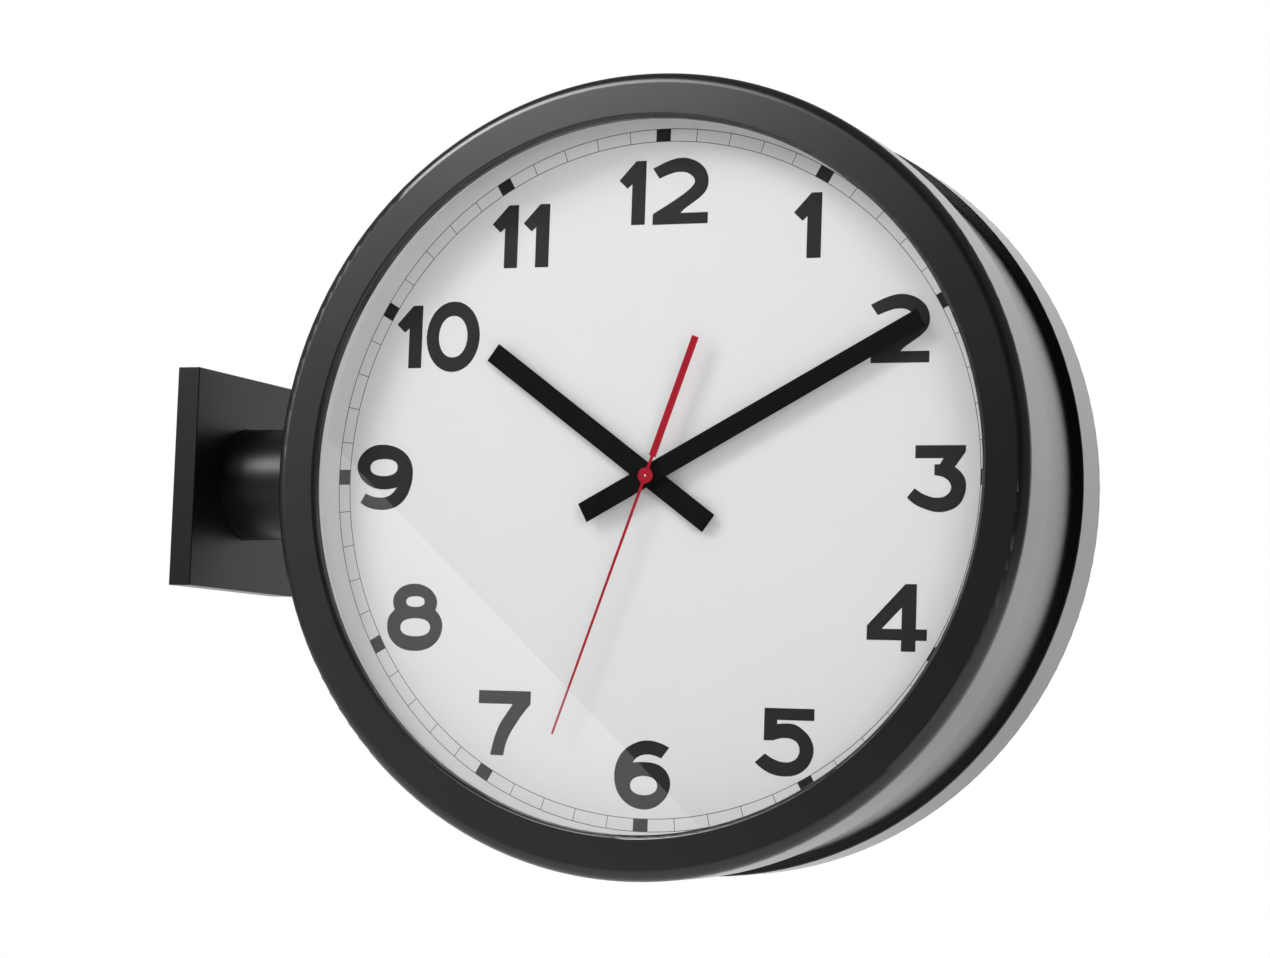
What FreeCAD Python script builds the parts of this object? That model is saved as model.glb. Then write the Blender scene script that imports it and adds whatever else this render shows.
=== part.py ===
import FreeCAD
import Part
import Sketcher
import math
import os
from FreeCAD import Placement, Rotation, Vector

# A wall mounted station clock with two dials back to back.
#
# The frame: the origin is the centre of the base plate's back face, on the wall. +X leaves
# the wall towards the clock, +Z is up, the front dial looks along -Y and the rear one along +Y.
# Each side of the clock is made once, in a frame of its own with its origin at the centre of the
# dial's front face: x to the right of someone who reads that dial, y into the clock, z up.
# Lengths are millimetres and angles are degrees.

doc = FreeCAD.newDocument("station_clock")
sheet = doc.addObject("Spreadsheet::Sheet", "Sheet")


class Size:
    """A length that knows its number and the sheet formula that gives the number."""

    def __init__(self, number, formula):
        self.number = number
        self.formula = formula

    def __add__(self, other):
        other = as_size(other)
        return Size(self.number + other.number, f"({self.formula} + {other.formula})")

    def __sub__(self, other):
        other = as_size(other)
        return Size(self.number - other.number, f"({self.formula} - {other.formula})")

    def __mul__(self, other):
        other = as_size(other)
        return Size(self.number * other.number, f"({self.formula} * {other.formula})")

    def __truediv__(self, other):
        other = as_size(other)
        return Size(self.number / other.number, f"({self.formula} / {other.formula})")

    def __neg__(self):
        return Size(-self.number, f"(0 - {self.formula})")

    __radd__ = __add__
    __rmul__ = __mul__


def as_size(value):
    return value if isinstance(value, Size) else Size(float(value), repr(float(value)))


def across(distance, angle):
    """The x of a point at a distance from the origin, at an angle from +x towards +z."""
    turn = as_size(angle)
    return Size(distance.number * math.cos(math.radians(turn.number)),
                f"({distance.formula} * cos({turn.formula} * 1 deg))")


def up(distance, angle):
    """The z of the same point."""
    turn = as_size(angle)
    return Size(distance.number * math.sin(math.radians(turn.number)),
                f"({distance.formula} * sin({turn.formula} * 1 deg))")


def dimension(alias, value, meaning):
    """Puts a driving dimension in the sheet and returns it as a Size."""
    row = dimension.row = getattr(dimension, "row", 0) + 1
    sheet.set(f"A{row}", meaning)
    sheet.set(f"B{row}", str(value))
    sheet.setAlias(f"B{row}", alias)
    return Size(float(value), f"Sheet.{alias}")


# ---- driving dimensions: housing ----

clearance = dimension("clearance", 0.1, "gap between parts that slip into each other")
shell_radius = dimension("shell_radius", 190, "outer radius of each ring")
shell_wall = dimension("shell_wall", 1.5, "sheet of the shells and bezels")
rim_round = dimension("rim_round", 5.3, "rounding of the bezel's outer corner")
lip_round = dimension("lip_round", 2.0, "rounding of the bezel's inner corner")
flank_round = dimension("flank_round", 0.6, "rounding of the shell's inner end")
rim_depth = dimension("rim_depth", 24.6, "dial front to the bezel's face")
face_width = dimension("face_width", 21.6, "bezel face, from the ring's side to the lip")
lip_depth = dimension("lip_depth", 19.5, "dial front to the lip's inner end")
seam_place = dimension("seam_place", 18.95, "dial front to the seam of bezel and shell")
seam_gap = dimension("seam_gap", 0.3, "width of that seam")
skirt_end = dimension("skirt_end", 14.0, "dial front to the end of the bezel's skirt")
dial_setback = dimension("dial_setback", 42.5, "middle of the clock to each dial front")
flank_setback = dimension("flank_setback", 31.0, "middle of the clock to each ring's flank")
waist_step = dimension("waist_step", 4.5, "drum between the rings, below the rings' sides")
waist_wall = dimension("waist_wall", 1.5, "sheet of the drum")

# ---- driving dimensions: glass, dial and carrier ----

lens_thickness = dimension("lens_thickness", 2.0, "glass")
lens_seat = dimension("lens_seat", 17.0, "dial front to the back of the glass")
lens_overlap = dimension("lens_overlap", 9.6, "edge of the glass outside the lip")
lens_bevel = dimension("lens_bevel", 0.4, "ground edge of the glass")
gasket_setback = dimension("gasket_setback", 0.3, "inside of the gasket, outside the lip's face")
gasket_width = dimension("gasket_width", 7.6, "outside of the gasket, outside the lip's face")
gasket_rise = dimension("gasket_rise", 1.0, "gasket's rim behind the lip")
reveal_setback = dimension("reveal_setback", 7.6, "inside of the white ring, outside the lip")
reveal_rim = dimension("reveal_rim", 2.0, "rim of the white ring round the glass")
reveal_foot = dimension("reveal_foot", 2.5, "thickness of the white ring's foot")
dial_thickness = dimension("dial_thickness", 1.2, "dial sheet")
carrier_plate = dimension("carrier_plate", 2.5, "thickness of the moulded dial carrier")
carrier_window = dimension("carrier_window", 60.0, "radius of the carrier's opening")
carrier_wall = dimension("carrier_wall", 2.4, "walls of the carrier's rim")
carrier_depth = dimension("carrier_depth", 26.0, "dial front to the carrier's inner end")
carrier_boss_width = dimension("carrier_boss_width", 12.0, "screw boss")
carrier_boss_height = dimension("carrier_boss_height", 6.5, "screw boss, radially")
head_screw_place = dimension("head_screw_place", 19.0, "dial front to the radial screws")
head_screw_radius = dimension("head_screw_radius", 2.0, "radial screw")
head_screw_head_radius = dimension("head_screw_head_radius", 3.6, "its head")
head_screw_head_height = dimension("head_screw_head_height", 1.8, "its head")
ring_screw_place = dimension("ring_screw_place", 6.4, "dial front to the grub screws")
ring_screw_radius = dimension("ring_screw_radius", 1.5, "grub screw in the ring")
ring_screw_sunk = dimension("ring_screw_sunk", 0.2, "grub screw below the ring's surface")

# ---- driving dimensions: arm and wall plate ----

arm_reach = dimension("arm_reach", 66.0, "wall to the rings' sides")
arm_flank_gap = dimension("arm_flank_gap", 2.5, "arm tube off the rings' flanks")
arm_wall = dimension("arm_wall", 2.5, "wall of the arm tube")
arm_plug_length = dimension("arm_plug_length", 18.0, "welded plug in the arm's clock end")
arm_bolt_radius = dimension("arm_bolt_radius", 3.0, "bolt through the saddle")
arm_bolt_place = dimension("arm_bolt_place", 12.0, "bolt above and below the arm's axis")
arm_bolt_bite = dimension("arm_bolt_bite", 14.0, "bolt in the plug")
arm_bolt_head_radius = dimension("arm_bolt_head_radius", 5.0, "bolt head")
arm_bolt_head_height = dimension("arm_bolt_head_height", 6.0, "bolt head")
saddle_thickness = dimension("saddle_thickness", 8.0, "saddle at its middle")
saddle_gap = dimension("saddle_gap", 0.5, "saddle off each dial carrier")
saddle_height = dimension("saddle_height", 60.0, "saddle upwards")
base_thickness = dimension("base_thickness", 3.0, "wall base plate")
base_tab_width = dimension("base_tab_width", 14.0, "tab that takes a cover screw")
base_tab_reach = dimension("base_tab_reach", 9.0, "tab from the wall")
base_tab_thickness = dimension("base_tab_thickness", 3.0, "tab")
wall_hole_radius = dimension("wall_hole_radius", 2.75, "hole for a wall screw")
wall_hole_inset = dimension("wall_hole_inset", 13.4, "wall screws from the plate's edges")
flange_width = dimension("flange_width", 11.5, "welded flange outside the arm tube")
flange_thickness = dimension("flange_thickness", 3.5, "welded flange of the arm")
flange_screw_place = dimension("flange_screw_place", 5.5, "flange screws off the arm tube")
flange_screw_radius = dimension("flange_screw_radius", 2.5, "flange screw")
flange_screw_head_radius = dimension("flange_screw_head_radius", 4.2, "its head")
flange_screw_head_height = dimension("flange_screw_head_height", 2.6, "its head")
cover_width = dimension("cover_width", 106.0, "wall cover along Y")
cover_height = dimension("cover_height", 110.0, "wall cover along Z")
cover_depth = dimension("cover_depth", 12.0, "wall cover from the wall")
cover_wall = dimension("cover_wall", 1.5, "sheet of the wall cover")
cover_round = dimension("cover_round", 0.5, "edges of the wall cover")
cover_mouth_gap = dimension("cover_mouth_gap", 0.3, "wall cover off the arm")
cover_screw_radius = dimension("cover_screw_radius", 2.0, "grub screw")
cover_screw_place = dimension("cover_screw_place", 6.0, "grub screw from the wall")

# ---- driving dimensions: movement ----

case_width = dimension("case_width", 56.0, "movement case")
case_height = dimension("case_height", 56.0, "movement case")
case_depth = dimension("case_depth", 16.1, "movement case without its cover")
case_wall = dimension("case_wall", 1.5, "movement case and cover")
bush_radius = dimension("bush_radius", 3.85, "threaded bush")
bush_proud = dimension("bush_proud", 2.6, "bush in front of the dial")
nut_radius = dimension("nut_radius", 5.77, "bush nut over its corners")
nut_height = dimension("nut_height", 2.2, "bush nut")
post_radius = dimension("post_radius", 1.5, "posts that carry the stator")
post_across = dimension("post_across", 15.0, "posts from the middle")
post_up = dimension("post_up", 14.0, "posts above the axis")
battery_radius = dimension("battery_radius", 7.1, "AA cell")
battery_length = dimension("battery_length", 49.3, "AA cell without its stud")
battery_stud_radius = dimension("battery_stud_radius", 2.75, "stud of the cell")
battery_stud_length = dimension("battery_stud_length", 1.2, "stud of the cell")
battery_play = dimension("battery_play", 0.2, "room round the cell")
contact_thickness = dimension("contact_thickness", 0.4, "contact strip")
contact_height = dimension("contact_height", 10.0, "contact strip")
arbor_radius = dimension("arbor_radius", 0.5, "arbors of the wheels")
running_gap = dimension("running_gap", 0.08, "radial play of arbors and tubes")
pivot_depth = dimension("pivot_depth", 1.0, "depth of the pivot holes")
pivot_end_gap = dimension("pivot_end_gap", 0.2, "end play of the arbors")
minute_tube_radius = dimension("minute_tube_radius", 1.6, "tube of the minute wheel")
hour_tube_radius = dimension("hour_tube_radius", 2.55, "tube of the hour wheel")
wheel_thickness = dimension("wheel_thickness", 0.8, "going train wheels")
motion_thickness = dimension("motion_thickness", 1.2, "hour wheel and pinions of the motion work")
pinion_overhang = dimension("pinion_overhang", 0.1, "pinion past its wheel on each side")
clutch_gap = dimension("clutch_gap", 0.05, "centre wheel off the shoulders of the cannon pinion")
clutch_radius = dimension("clutch_radius", 2.3, "shoulders that grip the centre wheel")
clutch_collar = dimension("clutch_collar", 0.6, "collar behind the centre wheel")

# Where the wheels lie, from the dial's front face into the movement.
hour_wheel_place = dimension("hour_wheel_place", 3.0, "hour wheel")
reverse_wheel_place = dimension("reverse_wheel_place", 4.8, "reverse wheel")
centre_wheel_place = dimension("centre_wheel_place", 6.6, "centre wheel")
third_wheel_place = dimension("third_wheel_place", 8.4, "third wheel")
second_wheel_place = dimension("second_wheel_place", 10.0, "second wheel")
fifth_wheel_place = dimension("fifth_wheel_place", 11.6, "fifth wheel")
stator_place = dimension("stator_place", 12.9, "stator plate")

# Modules and directions of the arbors from the centre, from +x towards +z.
train_module = dimension("train_module", 0.30, "teeth of second, third and fifth wheel pairs")
motion_module = dimension("motion_module", 0.45, "teeth of cannon pinion and reverse wheel")
rotor_module = dimension("rotor_module", 0.26, "teeth of rotor pinion and fifth wheel")
third_direction = dimension("third_direction", 160.0, "third wheel")
reverse_direction = dimension("reverse_direction", 20.0, "reverse wheel")
fifth_direction = dimension("fifth_direction", 90.0, "fifth wheel")
rotor_direction = dimension("rotor_direction", 60.0, "rotor, from the fifth wheel")
knob_direction = dimension("knob_direction", -10.0, "knob, from the reverse wheel")

rotor_magnet_radius = dimension("rotor_magnet_radius", 3.0, "magnet of the rotor")
rotor_magnet_length = dimension("rotor_magnet_length", 2.0, "magnet of the rotor")
rotor_air_gap = dimension("rotor_air_gap", 0.4, "stator off the magnet")
stator_thickness = dimension("stator_thickness", 1.0, "stator plate")
stator_width = dimension("stator_width", 34.0, "stator plate")
stator_low = dimension("stator_low", 12.0, "stator plate's lower edge above the axis")
stator_high = dimension("stator_high", 25.5, "stator plate's upper edge above the axis")
stator_window_width = dimension("stator_window_width", 18.0, "gap between the stator's legs")
stator_window_low = dimension("stator_window_low", 21.6, "bottom of that gap")
coil_radius = dimension("coil_radius", 3.0, "winding")
coil_length = dimension("coil_length", 24.0, "winding")
coil_up = dimension("coil_up", 23.2, "winding above the axis")
coil_place = dimension("coil_place", 9.6, "winding from the dial's front face")
core_thickness = dimension("core_thickness", 1.0, "core strip of the coil")
core_height = dimension("core_height", 2.4, "core strip of the coil")
core_foot = dimension("core_foot", 4.0, "foot of the core on the stator")
knob_shaft_radius = dimension("knob_shaft_radius", 1.5, "shaft of the setting knob")
knob_height = dimension("knob_height", 4.0, "setting knob")
knob_gap = dimension("knob_gap", 0.5, "knob off the cover")
knob_module = dimension("knob_module", 0.62, "grip ribs of the knob")

# ---- driving dimensions: hands ----

hour_hand_height = dimension("hour_hand_height", 3.8, "hour hand's back above the dial")
hour_hand_length = dimension("hour_hand_length", 103.2, "hour hand, centre to tip")
hour_hand_tail = dimension("hour_hand_tail", 38.0, "hour hand, centre to tail")
hour_hand_width = dimension("hour_hand_width", 10.0, "hour hand")
hour_hand_angle = dimension("hour_hand_angle", 305.8, "hour hand at rest, clockwise from 12")
minute_hand_height = dimension("minute_hand_height", 6.3, "minute hand's back above the dial")
minute_hand_length = dimension("minute_hand_length", 151.6, "minute hand, centre to tip")
minute_hand_tail = dimension("minute_hand_tail", 37.0, "minute hand, centre to tail")
minute_hand_tip_width = dimension("minute_hand_tip_width", 8.8, "minute hand at its tip")
minute_hand_tail_width = dimension("minute_hand_tail_width", 9.8, "minute hand at its tail")
minute_hand_angle = dimension("minute_hand_angle", 61.3, "minute hand at rest")
hand_thickness = dimension("hand_thickness", 0.6, "hour and minute hand")
second_hand_height = dimension("second_hand_height", 8.4, "second hand's back above the dial")
second_hand_length = dimension("second_hand_length", 130.3, "second hand, centre to tip")
second_hand_tail = dimension("second_hand_tail", 69.7, "second hand, centre to tail")
second_hand_angle = dimension("second_hand_angle", 199.4, "second hand at rest")
second_hand_thickness = dimension("second_hand_thickness", 0.4, "second hand")
second_hub_radius = dimension("second_hub_radius", 3.8, "disc of the second hand")
needle_root_width = dimension("needle_root_width", 1.4, "second hand beside its disc")
needle_tip_width = dimension("needle_tip_width", 0.9, "second hand at its tip")
counterweight_start = dimension("counterweight_start", 9.6, "centre to the wide tail")
counterweight_width = dimension("counterweight_width", 3.5, "wide tail")
collet_wall = dimension("collet_wall", 1.4, "collets of hour and minute hand")
collet_height = dimension("collet_height", 0.9, "collets behind the hands")
tube_proud = dimension("tube_proud", 0.4, "tubes in front of their hands")
press_gap = dimension("press_gap", 0.02, "hands off the tubes that they grip")

doc.recompute()

# Tooth numbers. The hour wheel turns once for 12 turns of the cannon pinion, the centre wheel
# once for 60 turns of the second wheel, and the second wheel once for 30 turns of the rotor.
CANNON_TEETH, REVERSE_TEETH = 12, 36
REVERSE_PINION_TEETH, HOUR_TEETH = 10, 40
SECOND_PINION_TEETH, THIRD_TEETH = 8, 60
THIRD_PINION_TEETH, CENTRE_TEETH = 8, 64
FIFTH_PINION_TEETH, SECOND_TEETH = 12, 60
ROTOR_PINION_TEETH, FIFTH_TEETH = 8, 48
KNOB_PINION_TEETH = 12
KNOB_RIBS = 18

# Shape of a tooth: half widths in shares of the circular pitch, heights in modules.
TOOTH_TIP, TOOTH_ROOT = 0.10, 0.20
ADDENDUM, DEDENDUM = 0.8, 1.2

# ---- sizes that follow from the driving ones ----

opening_radius = shell_radius - face_width
waist_radius = shell_radius - waist_step
lens_radius = opening_radius + lens_overlap
gasket_inner_radius = opening_radius + gasket_setback
gasket_outer_radius = opening_radius + gasket_width
reveal_radius = opening_radius + reveal_setback
clock_x = arm_reach + shell_radius
arm_radius = flank_setback - arm_flank_gap
saddle_width = (dial_setback - carrier_depth - saddle_gap) * 2
flange_radius = arm_radius + flange_width
flange_screw_circle = arm_radius + flange_screw_place
shell_inside = shell_radius - shell_wall
flank = dial_setback - flank_setback
lens_front = -(lens_seat + lens_thickness)
slip_radius = shell_inside - clearance
waist_inside = waist_radius - waist_wall
base_width = cover_width - cover_wall * 2 - clearance * 2
base_height = cover_height - cover_wall * 2 - clearance * 2
wall_hole_across = base_width - wall_hole_inset * 2
wall_hole_upright = base_height - wall_hole_inset * 2
dial_back = dial_thickness
case_back = dial_back + case_depth
cover_back = case_back + case_wall
case_inside = dial_back + case_wall
half_bay = case_width / 2 - case_wall
bay_low = -(case_height / 2 - case_wall)
bay_high = bay_low + battery_radius * 2 + battery_play * 2
train_low = bay_high + case_wall
train_high = case_height / 2 - case_wall
arbor_front = case_inside - pivot_depth + pivot_end_gap
arbor_back = case_back + pivot_depth - pivot_end_gap
bush_bore = hour_tube_radius + running_gap
hour_bore = minute_tube_radius + running_gap
minute_bore = arbor_radius + running_gap
hour_tube_end = -(hour_hand_height + hand_thickness + tube_proud)
minute_tube_end = -(minute_hand_height + hand_thickness + tube_proud)
second_arbor_end = -(second_hand_height + second_hand_thickness)

motion_distance = motion_module * ((CANNON_TEETH + REVERSE_TEETH) / 2)
hour_module = motion_distance / ((REVERSE_PINION_TEETH + HOUR_TEETH) / 2)
third_distance = train_module * ((SECOND_PINION_TEETH + THIRD_TEETH) / 2)
centre_module = third_distance / ((THIRD_PINION_TEETH + CENTRE_TEETH) / 2)
fifth_distance = train_module * ((FIFTH_PINION_TEETH + SECOND_TEETH) / 2)
rotor_distance = rotor_module * ((ROTOR_PINION_TEETH + FIFTH_TEETH) / 2)

CENTRE = (as_size(0), as_size(0))
third_axis = (across(third_distance, third_direction), up(third_distance, third_direction))
reverse_axis = (across(motion_distance, reverse_direction), up(motion_distance, reverse_direction))
fifth_axis = (across(fifth_distance, fifth_direction), up(fifth_distance, fifth_direction))
rotor_axis = (fifth_axis[0] + across(rotor_distance, rotor_direction),
              fifth_axis[1] + up(rotor_distance, rotor_direction))
knob_axis = (reverse_axis[0] + across(motion_distance, knob_direction),
             reverse_axis[1] + up(motion_distance, knob_direction))


# ---- helpers ----

def bind(thing, name, size):
    """Sets a property and ties it to the sheet."""
    size = as_size(size)
    setattr(thing, name, size.number)
    thing.setExpression(name, size.formula)


def place(thing, x, y, z, rotation=Rotation()):
    """Puts an object at sizes from the origin."""
    spot = [as_size(value) for value in (x, y, z)]
    thing.Placement = Placement(Vector(*[size.number for size in spot]), rotation)
    for axis, size in zip("xyz", spot):
        thing.setExpression(f".Placement.Base.{axis}", size.formula)


# Turns that lay a shape's own z axis along +y or +x.
ALONG_Y = Rotation(Vector(1, 0, 0), -90)
ALONG_X = Rotation(Vector(0, 1, 0), 90)
HALF_TURN = Rotation(Vector(0, 0, 1), 180)

nodes = []


def keep(label, thing):
    """Names a finished piece: its label is the name of its file."""
    thing.Label = label
    nodes.append(thing)
    return thing


def move_to(side, thing):
    """Moves a thing from the frame of one side of the clock to the clock's frame."""
    if side == "front":
        place(thing, clock_x, -dial_setback, 0)
    else:
        place(thing, clock_x, dial_setback, 0, HALF_TURN)
    return thing


def settle(side, label, thing):
    """Keeps a piece of one side of the clock."""
    return keep(f"{side}_{label}", move_to(side, thing))


def new_body(name):
    return doc.addObject("PartDesign::Body", name)


def new_sketch(body, role, offset=0, turn=0):
    """A sketch on one of the body's origin planes, moved along the plane's normal."""
    sketch = body.newObject("Sketcher::SketchObject", body.Name + "_sketch")
    plane = [feature for feature in body.Origin.OriginFeatures if feature.Role == role][0]
    sketch.AttachmentSupport = [(plane, "")]
    sketch.MapMode = "FlatFace"
    offset, turn = as_size(offset), as_size(turn)
    sketch.AttachmentOffset = Placement(Vector(0, 0, offset.number),
                                        Rotation(Vector(0, 0, 1), turn.number))
    sketch.setExpression(".AttachmentOffset.Base.z", offset.formula)
    if turn.number:
        sketch.setExpression(".AttachmentOffset.Rotation.Angle", turn.formula)
    return sketch


def fix_point(sketch, geometry, position, x, y):
    """Ties a point of the sketch to its sizes from the origin."""
    for kind, size in (("DistanceX", as_size(x)), ("DistanceY", as_size(y))):
        index = sketch.addConstraint(
            Sketcher.Constraint(kind, -1, 1, geometry, position, size.number))
        sketch.setExpression(f"Constraints[{index}]", size.formula)


def draw_outline(sketch, corners):
    """A closed outline of straight lines, each corner tied to its sizes."""
    corners = [(as_size(x), as_size(y)) for x, y in corners]
    lines = []
    for index, (x, y) in enumerate(corners):
        x_next, y_next = corners[(index + 1) % len(corners)]
        lines.append(sketch.addGeometry(Part.LineSegment(
            Vector(x.number, y.number, 0), Vector(x_next.number, y_next.number, 0))))
    for index, line in enumerate(lines):
        following = lines[(index + 1) % len(lines)]
        sketch.addConstraint(Sketcher.Constraint("Coincident", line, 2, following, 1))
    for line, (x, y) in zip(lines, corners):
        fix_point(sketch, line, 1, x, y)


def draw_circle(sketch, x, y, radius):
    x, y, radius = as_size(x), as_size(y), as_size(radius)
    circle = sketch.addGeometry(
        Part.Circle(Vector(x.number, y.number, 0), Vector(0, 0, 1), radius.number))
    fix_point(sketch, circle, 3, x, y)
    index = sketch.addConstraint(Sketcher.Constraint("Radius", circle, radius.number))
    sketch.setExpression(f"Constraints[{index}]", radius.formula)


def draw_box(sketch, x_low, y_low, x_high, y_high):
    draw_outline(sketch, [(x_low, y_low), (x_high, y_low), (x_high, y_high), (x_low, y_high)])


def revolve(body, corners):
    """A ring: the outline's x is the radius and its y the depth along the clock's axis."""
    sketch = new_sketch(body, "XY_Plane")
    draw_outline(sketch, corners)
    ring = body.newObject("PartDesign::Revolution", body.Name + "_ring")
    ring.Profile = sketch
    ring.ReferenceAxis = (sketch, ["V_Axis"])
    ring.Angle = 360
    doc.recompute()
    return ring


def upright_sketch(body, depth, turn=0):
    """A sketch that faces the viewer, at a depth into the clock, turned clockwise."""
    return new_sketch(body, "XZ_Plane", -as_size(depth), -as_size(turn))


def pad(body, sketch, length, deeper=True):
    """Raises a sketch into the clock, or along its own normal."""
    block = body.newObject("PartDesign::Pad", body.Name + "_pad")
    block.Profile = sketch
    block.Reversed = deeper
    bind(block, "Length", length)
    doc.recompute()
    return block


def pocket(body, sketch, length=None, deeper=True):
    """Cuts a sketch into the clock or along its normal; without a length through everything."""
    volume = body.Shape.Volume
    cut = body.newObject("PartDesign::Pocket", body.Name + "_pocket")
    cut.Profile = sketch
    if length is None:
        cut.Type = "ThroughAll"
        cut.Midplane = True
    else:
        cut.Reversed = not deeper
        bind(cut, "Length", length)
    doc.recompute()
    if not body.Shape.Volume < volume:
        raise RuntimeError(f"{cut.Name} cuts nothing")
    return cut


def soften(body, names, size, kind="PartDesign::Fillet"):
    """Rounds or bevels the named edges."""
    before = body.Tip
    feature = body.newObject(kind, body.Name + "_edge")
    feature.Base = (before, names)
    bind(feature, "Radius" if kind.endswith("Fillet") else "Size", size)
    doc.recompute()
    return feature


def round_circles(body, wanted, radius, kind="PartDesign::Fillet"):
    """Rounds or bevels the circular edges with these radii and depths."""
    names = []
    for index, edge in enumerate(body.Shape.Edges, 1):
        if not isinstance(edge.Curve, Part.Circle):
            continue
        for edge_radius, depth in wanted:
            same_radius = abs(edge.Curve.Radius - edge_radius.number) < 0.01
            if same_radius and abs(edge.Curve.Center.y - depth.number) < 0.01:
                names.append(f"Edge{index}")
    return soften(body, names, radius, kind)


def cylinder(name, radius, length, x, y, z, rotation=ALONG_Y):
    """A round bar that starts at a point and runs along the rotation's axis."""
    bar = doc.addObject("Part::Cylinder", name)
    bind(bar, "Radius", radius)
    bind(bar, "Height", length)
    place(bar, x, y, z, rotation)
    return bar


def box(name, x, y, z, length, width, height):
    """A block from its lowest corner."""
    block = doc.addObject("Part::Box", name)
    bind(block, "Length", length)
    bind(block, "Width", width)
    bind(block, "Height", height)
    place(block, x, y, z)
    return block


def fuse(name, things):
    joined = doc.addObject("Part::MultiFuse", name)
    joined.Shapes = things
    return joined


def cut(name, base, tool):
    result = doc.addObject("Part::Cut", name)
    result.Base = base
    result.Tool = tool
    return result


def group(name, things):
    """Several separate solids in one piece, such as a set of screws."""
    together = doc.addObject("Part::Compound", name)
    together.Links = things
    return together


def toothed_disc(name, teeth, module, phase, y, thickness, axis):
    """A disc with teeth at a phase in degrees from +x towards +z, on an axis of the movement."""
    pitch_radius = teeth * module.number / 2
    corners = []
    for tooth in range(teeth):
        middle = math.radians(phase) + 2 * math.pi * tooth / teeth
        for height, half_width in ((-DEDENDUM, -TOOTH_ROOT), (ADDENDUM, -TOOTH_TIP),
                                   (ADDENDUM, TOOTH_TIP), (-DEDENDUM, TOOTH_ROOT)):
            radius = pitch_radius + height * module.number
            angle = middle + half_width * math.pi * module.number / radius
            corners.append(Vector(radius * math.cos(angle), 0, radius * math.sin(angle)))
    face = Part.Face(Part.makePolygon(corners + corners[:1]))
    disc = doc.addObject("Part::Feature", name)
    disc.Shape = face.extrude(Vector(0, thickness.number, 0))
    place(disc, axis[0], y, axis[1])
    return disc


def direction(here, there):
    """The angle, from +x towards +z, at which one arbor sees another."""
    return math.degrees(math.atan2(there[1].number - here[1].number,
                                   there[0].number - here[0].number))


def gap_phase(teeth, towards):
    """The phase that turns a gap between two teeth towards a direction."""
    return towards + 180 / teeth


# ---- housing of one side ----

def build_bezel(side):
    """The spun ring: a face, a lip that turns in to the glass, a skirt inside the shell."""
    body = new_body(side + "_bezel_body")
    face, seam = -rim_depth, -(seam_place + seam_gap / 2)
    lip_outside, skirt_inside = opening_radius + shell_wall, slip_radius - shell_wall
    revolve(body, [
        (opening_radius, -lip_depth),
        (opening_radius, face),
        (shell_radius, face),
        (shell_radius, seam),
        (slip_radius, seam),
        (slip_radius, -skirt_end),
        (skirt_inside, -skirt_end),
        (skirt_inside, face + shell_wall),
        (lip_outside, face + shell_wall),
        (lip_outside, -lip_depth),
    ])
    round_circles(body, [(shell_radius, face)], rim_round)
    round_circles(body, [(skirt_inside, face + shell_wall)], rim_round / 2)
    round_circles(body, [(opening_radius, face)], lip_round)
    settle(side, "bezel", body)


def build_shell(side):
    """The ring behind the bezel, rolled from sheet."""
    body = new_body(side + "_shell_body")
    seam = seam_gap / 2 - seam_place
    revolve(body, [(shell_radius, seam), (shell_radius, flank), (shell_inside, flank),
                   (shell_inside, seam)])
    round_circles(body, [(shell_radius, flank)], flank_round)
    holes = new_sketch(body, "XY_Plane")
    draw_circle(holes, 0, ring_screw_place, ring_screw_radius)
    pocket(body, holes)
    settle(side, "shell", body)


def build_lens_gasket(side):
    """A rubber ring between the lip and the glass, with a rim behind the lip."""
    body = new_body(side + "_lens_gasket_body")
    under_lip = -lip_depth + clearance / 2
    behind_lip = opening_radius + shell_wall + clearance
    revolve(body, [
        (gasket_inner_radius, lens_front),
        (gasket_outer_radius, lens_front),
        (gasket_outer_radius, under_lip - gasket_rise),
        (behind_lip, under_lip - gasket_rise),
        (behind_lip, under_lip),
        (gasket_inner_radius, under_lip),
    ])
    settle(side, "lens_gasket", body)


def build_lens(side):
    """The flat glass."""
    body = new_body(side + "_lens_body")
    revolve(body, [(0, lens_front), (lens_radius, lens_front), (lens_radius, -lens_seat),
                   (0, -lens_seat)])
    round_circles(body, [(lens_radius, lens_front), (lens_radius, -lens_seat)], lens_bevel,
                  "PartDesign::Chamfer")
    settle(side, "lens", body)


def build_reveal_ring(side):
    """The white ring that holds the glass off the dial and centres it."""
    body = new_body(side + "_reveal_ring_body")
    rim_inside = lens_radius + clearance
    revolve(body, [
        (reveal_radius, 0),
        (slip_radius, 0),
        (slip_radius, -reveal_foot),
        (rim_inside + reveal_rim, -reveal_foot),
        (rim_inside + reveal_rim, lens_front),
        (rim_inside, lens_front),
        (rim_inside, -lens_seat),
        (reveal_radius, -lens_seat),
    ])
    settle(side, "reveal_ring", body)


def build_dial(side):
    """The dial sheet, with a hole for the bush."""
    body = new_body(side + "_dial_body")
    hole = bush_radius + clearance
    revolve(body, [(hole, 0), (slip_radius, 0), (slip_radius, dial_thickness),
                   (hole, dial_thickness)])
    settle(side, "dial", body)


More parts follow.
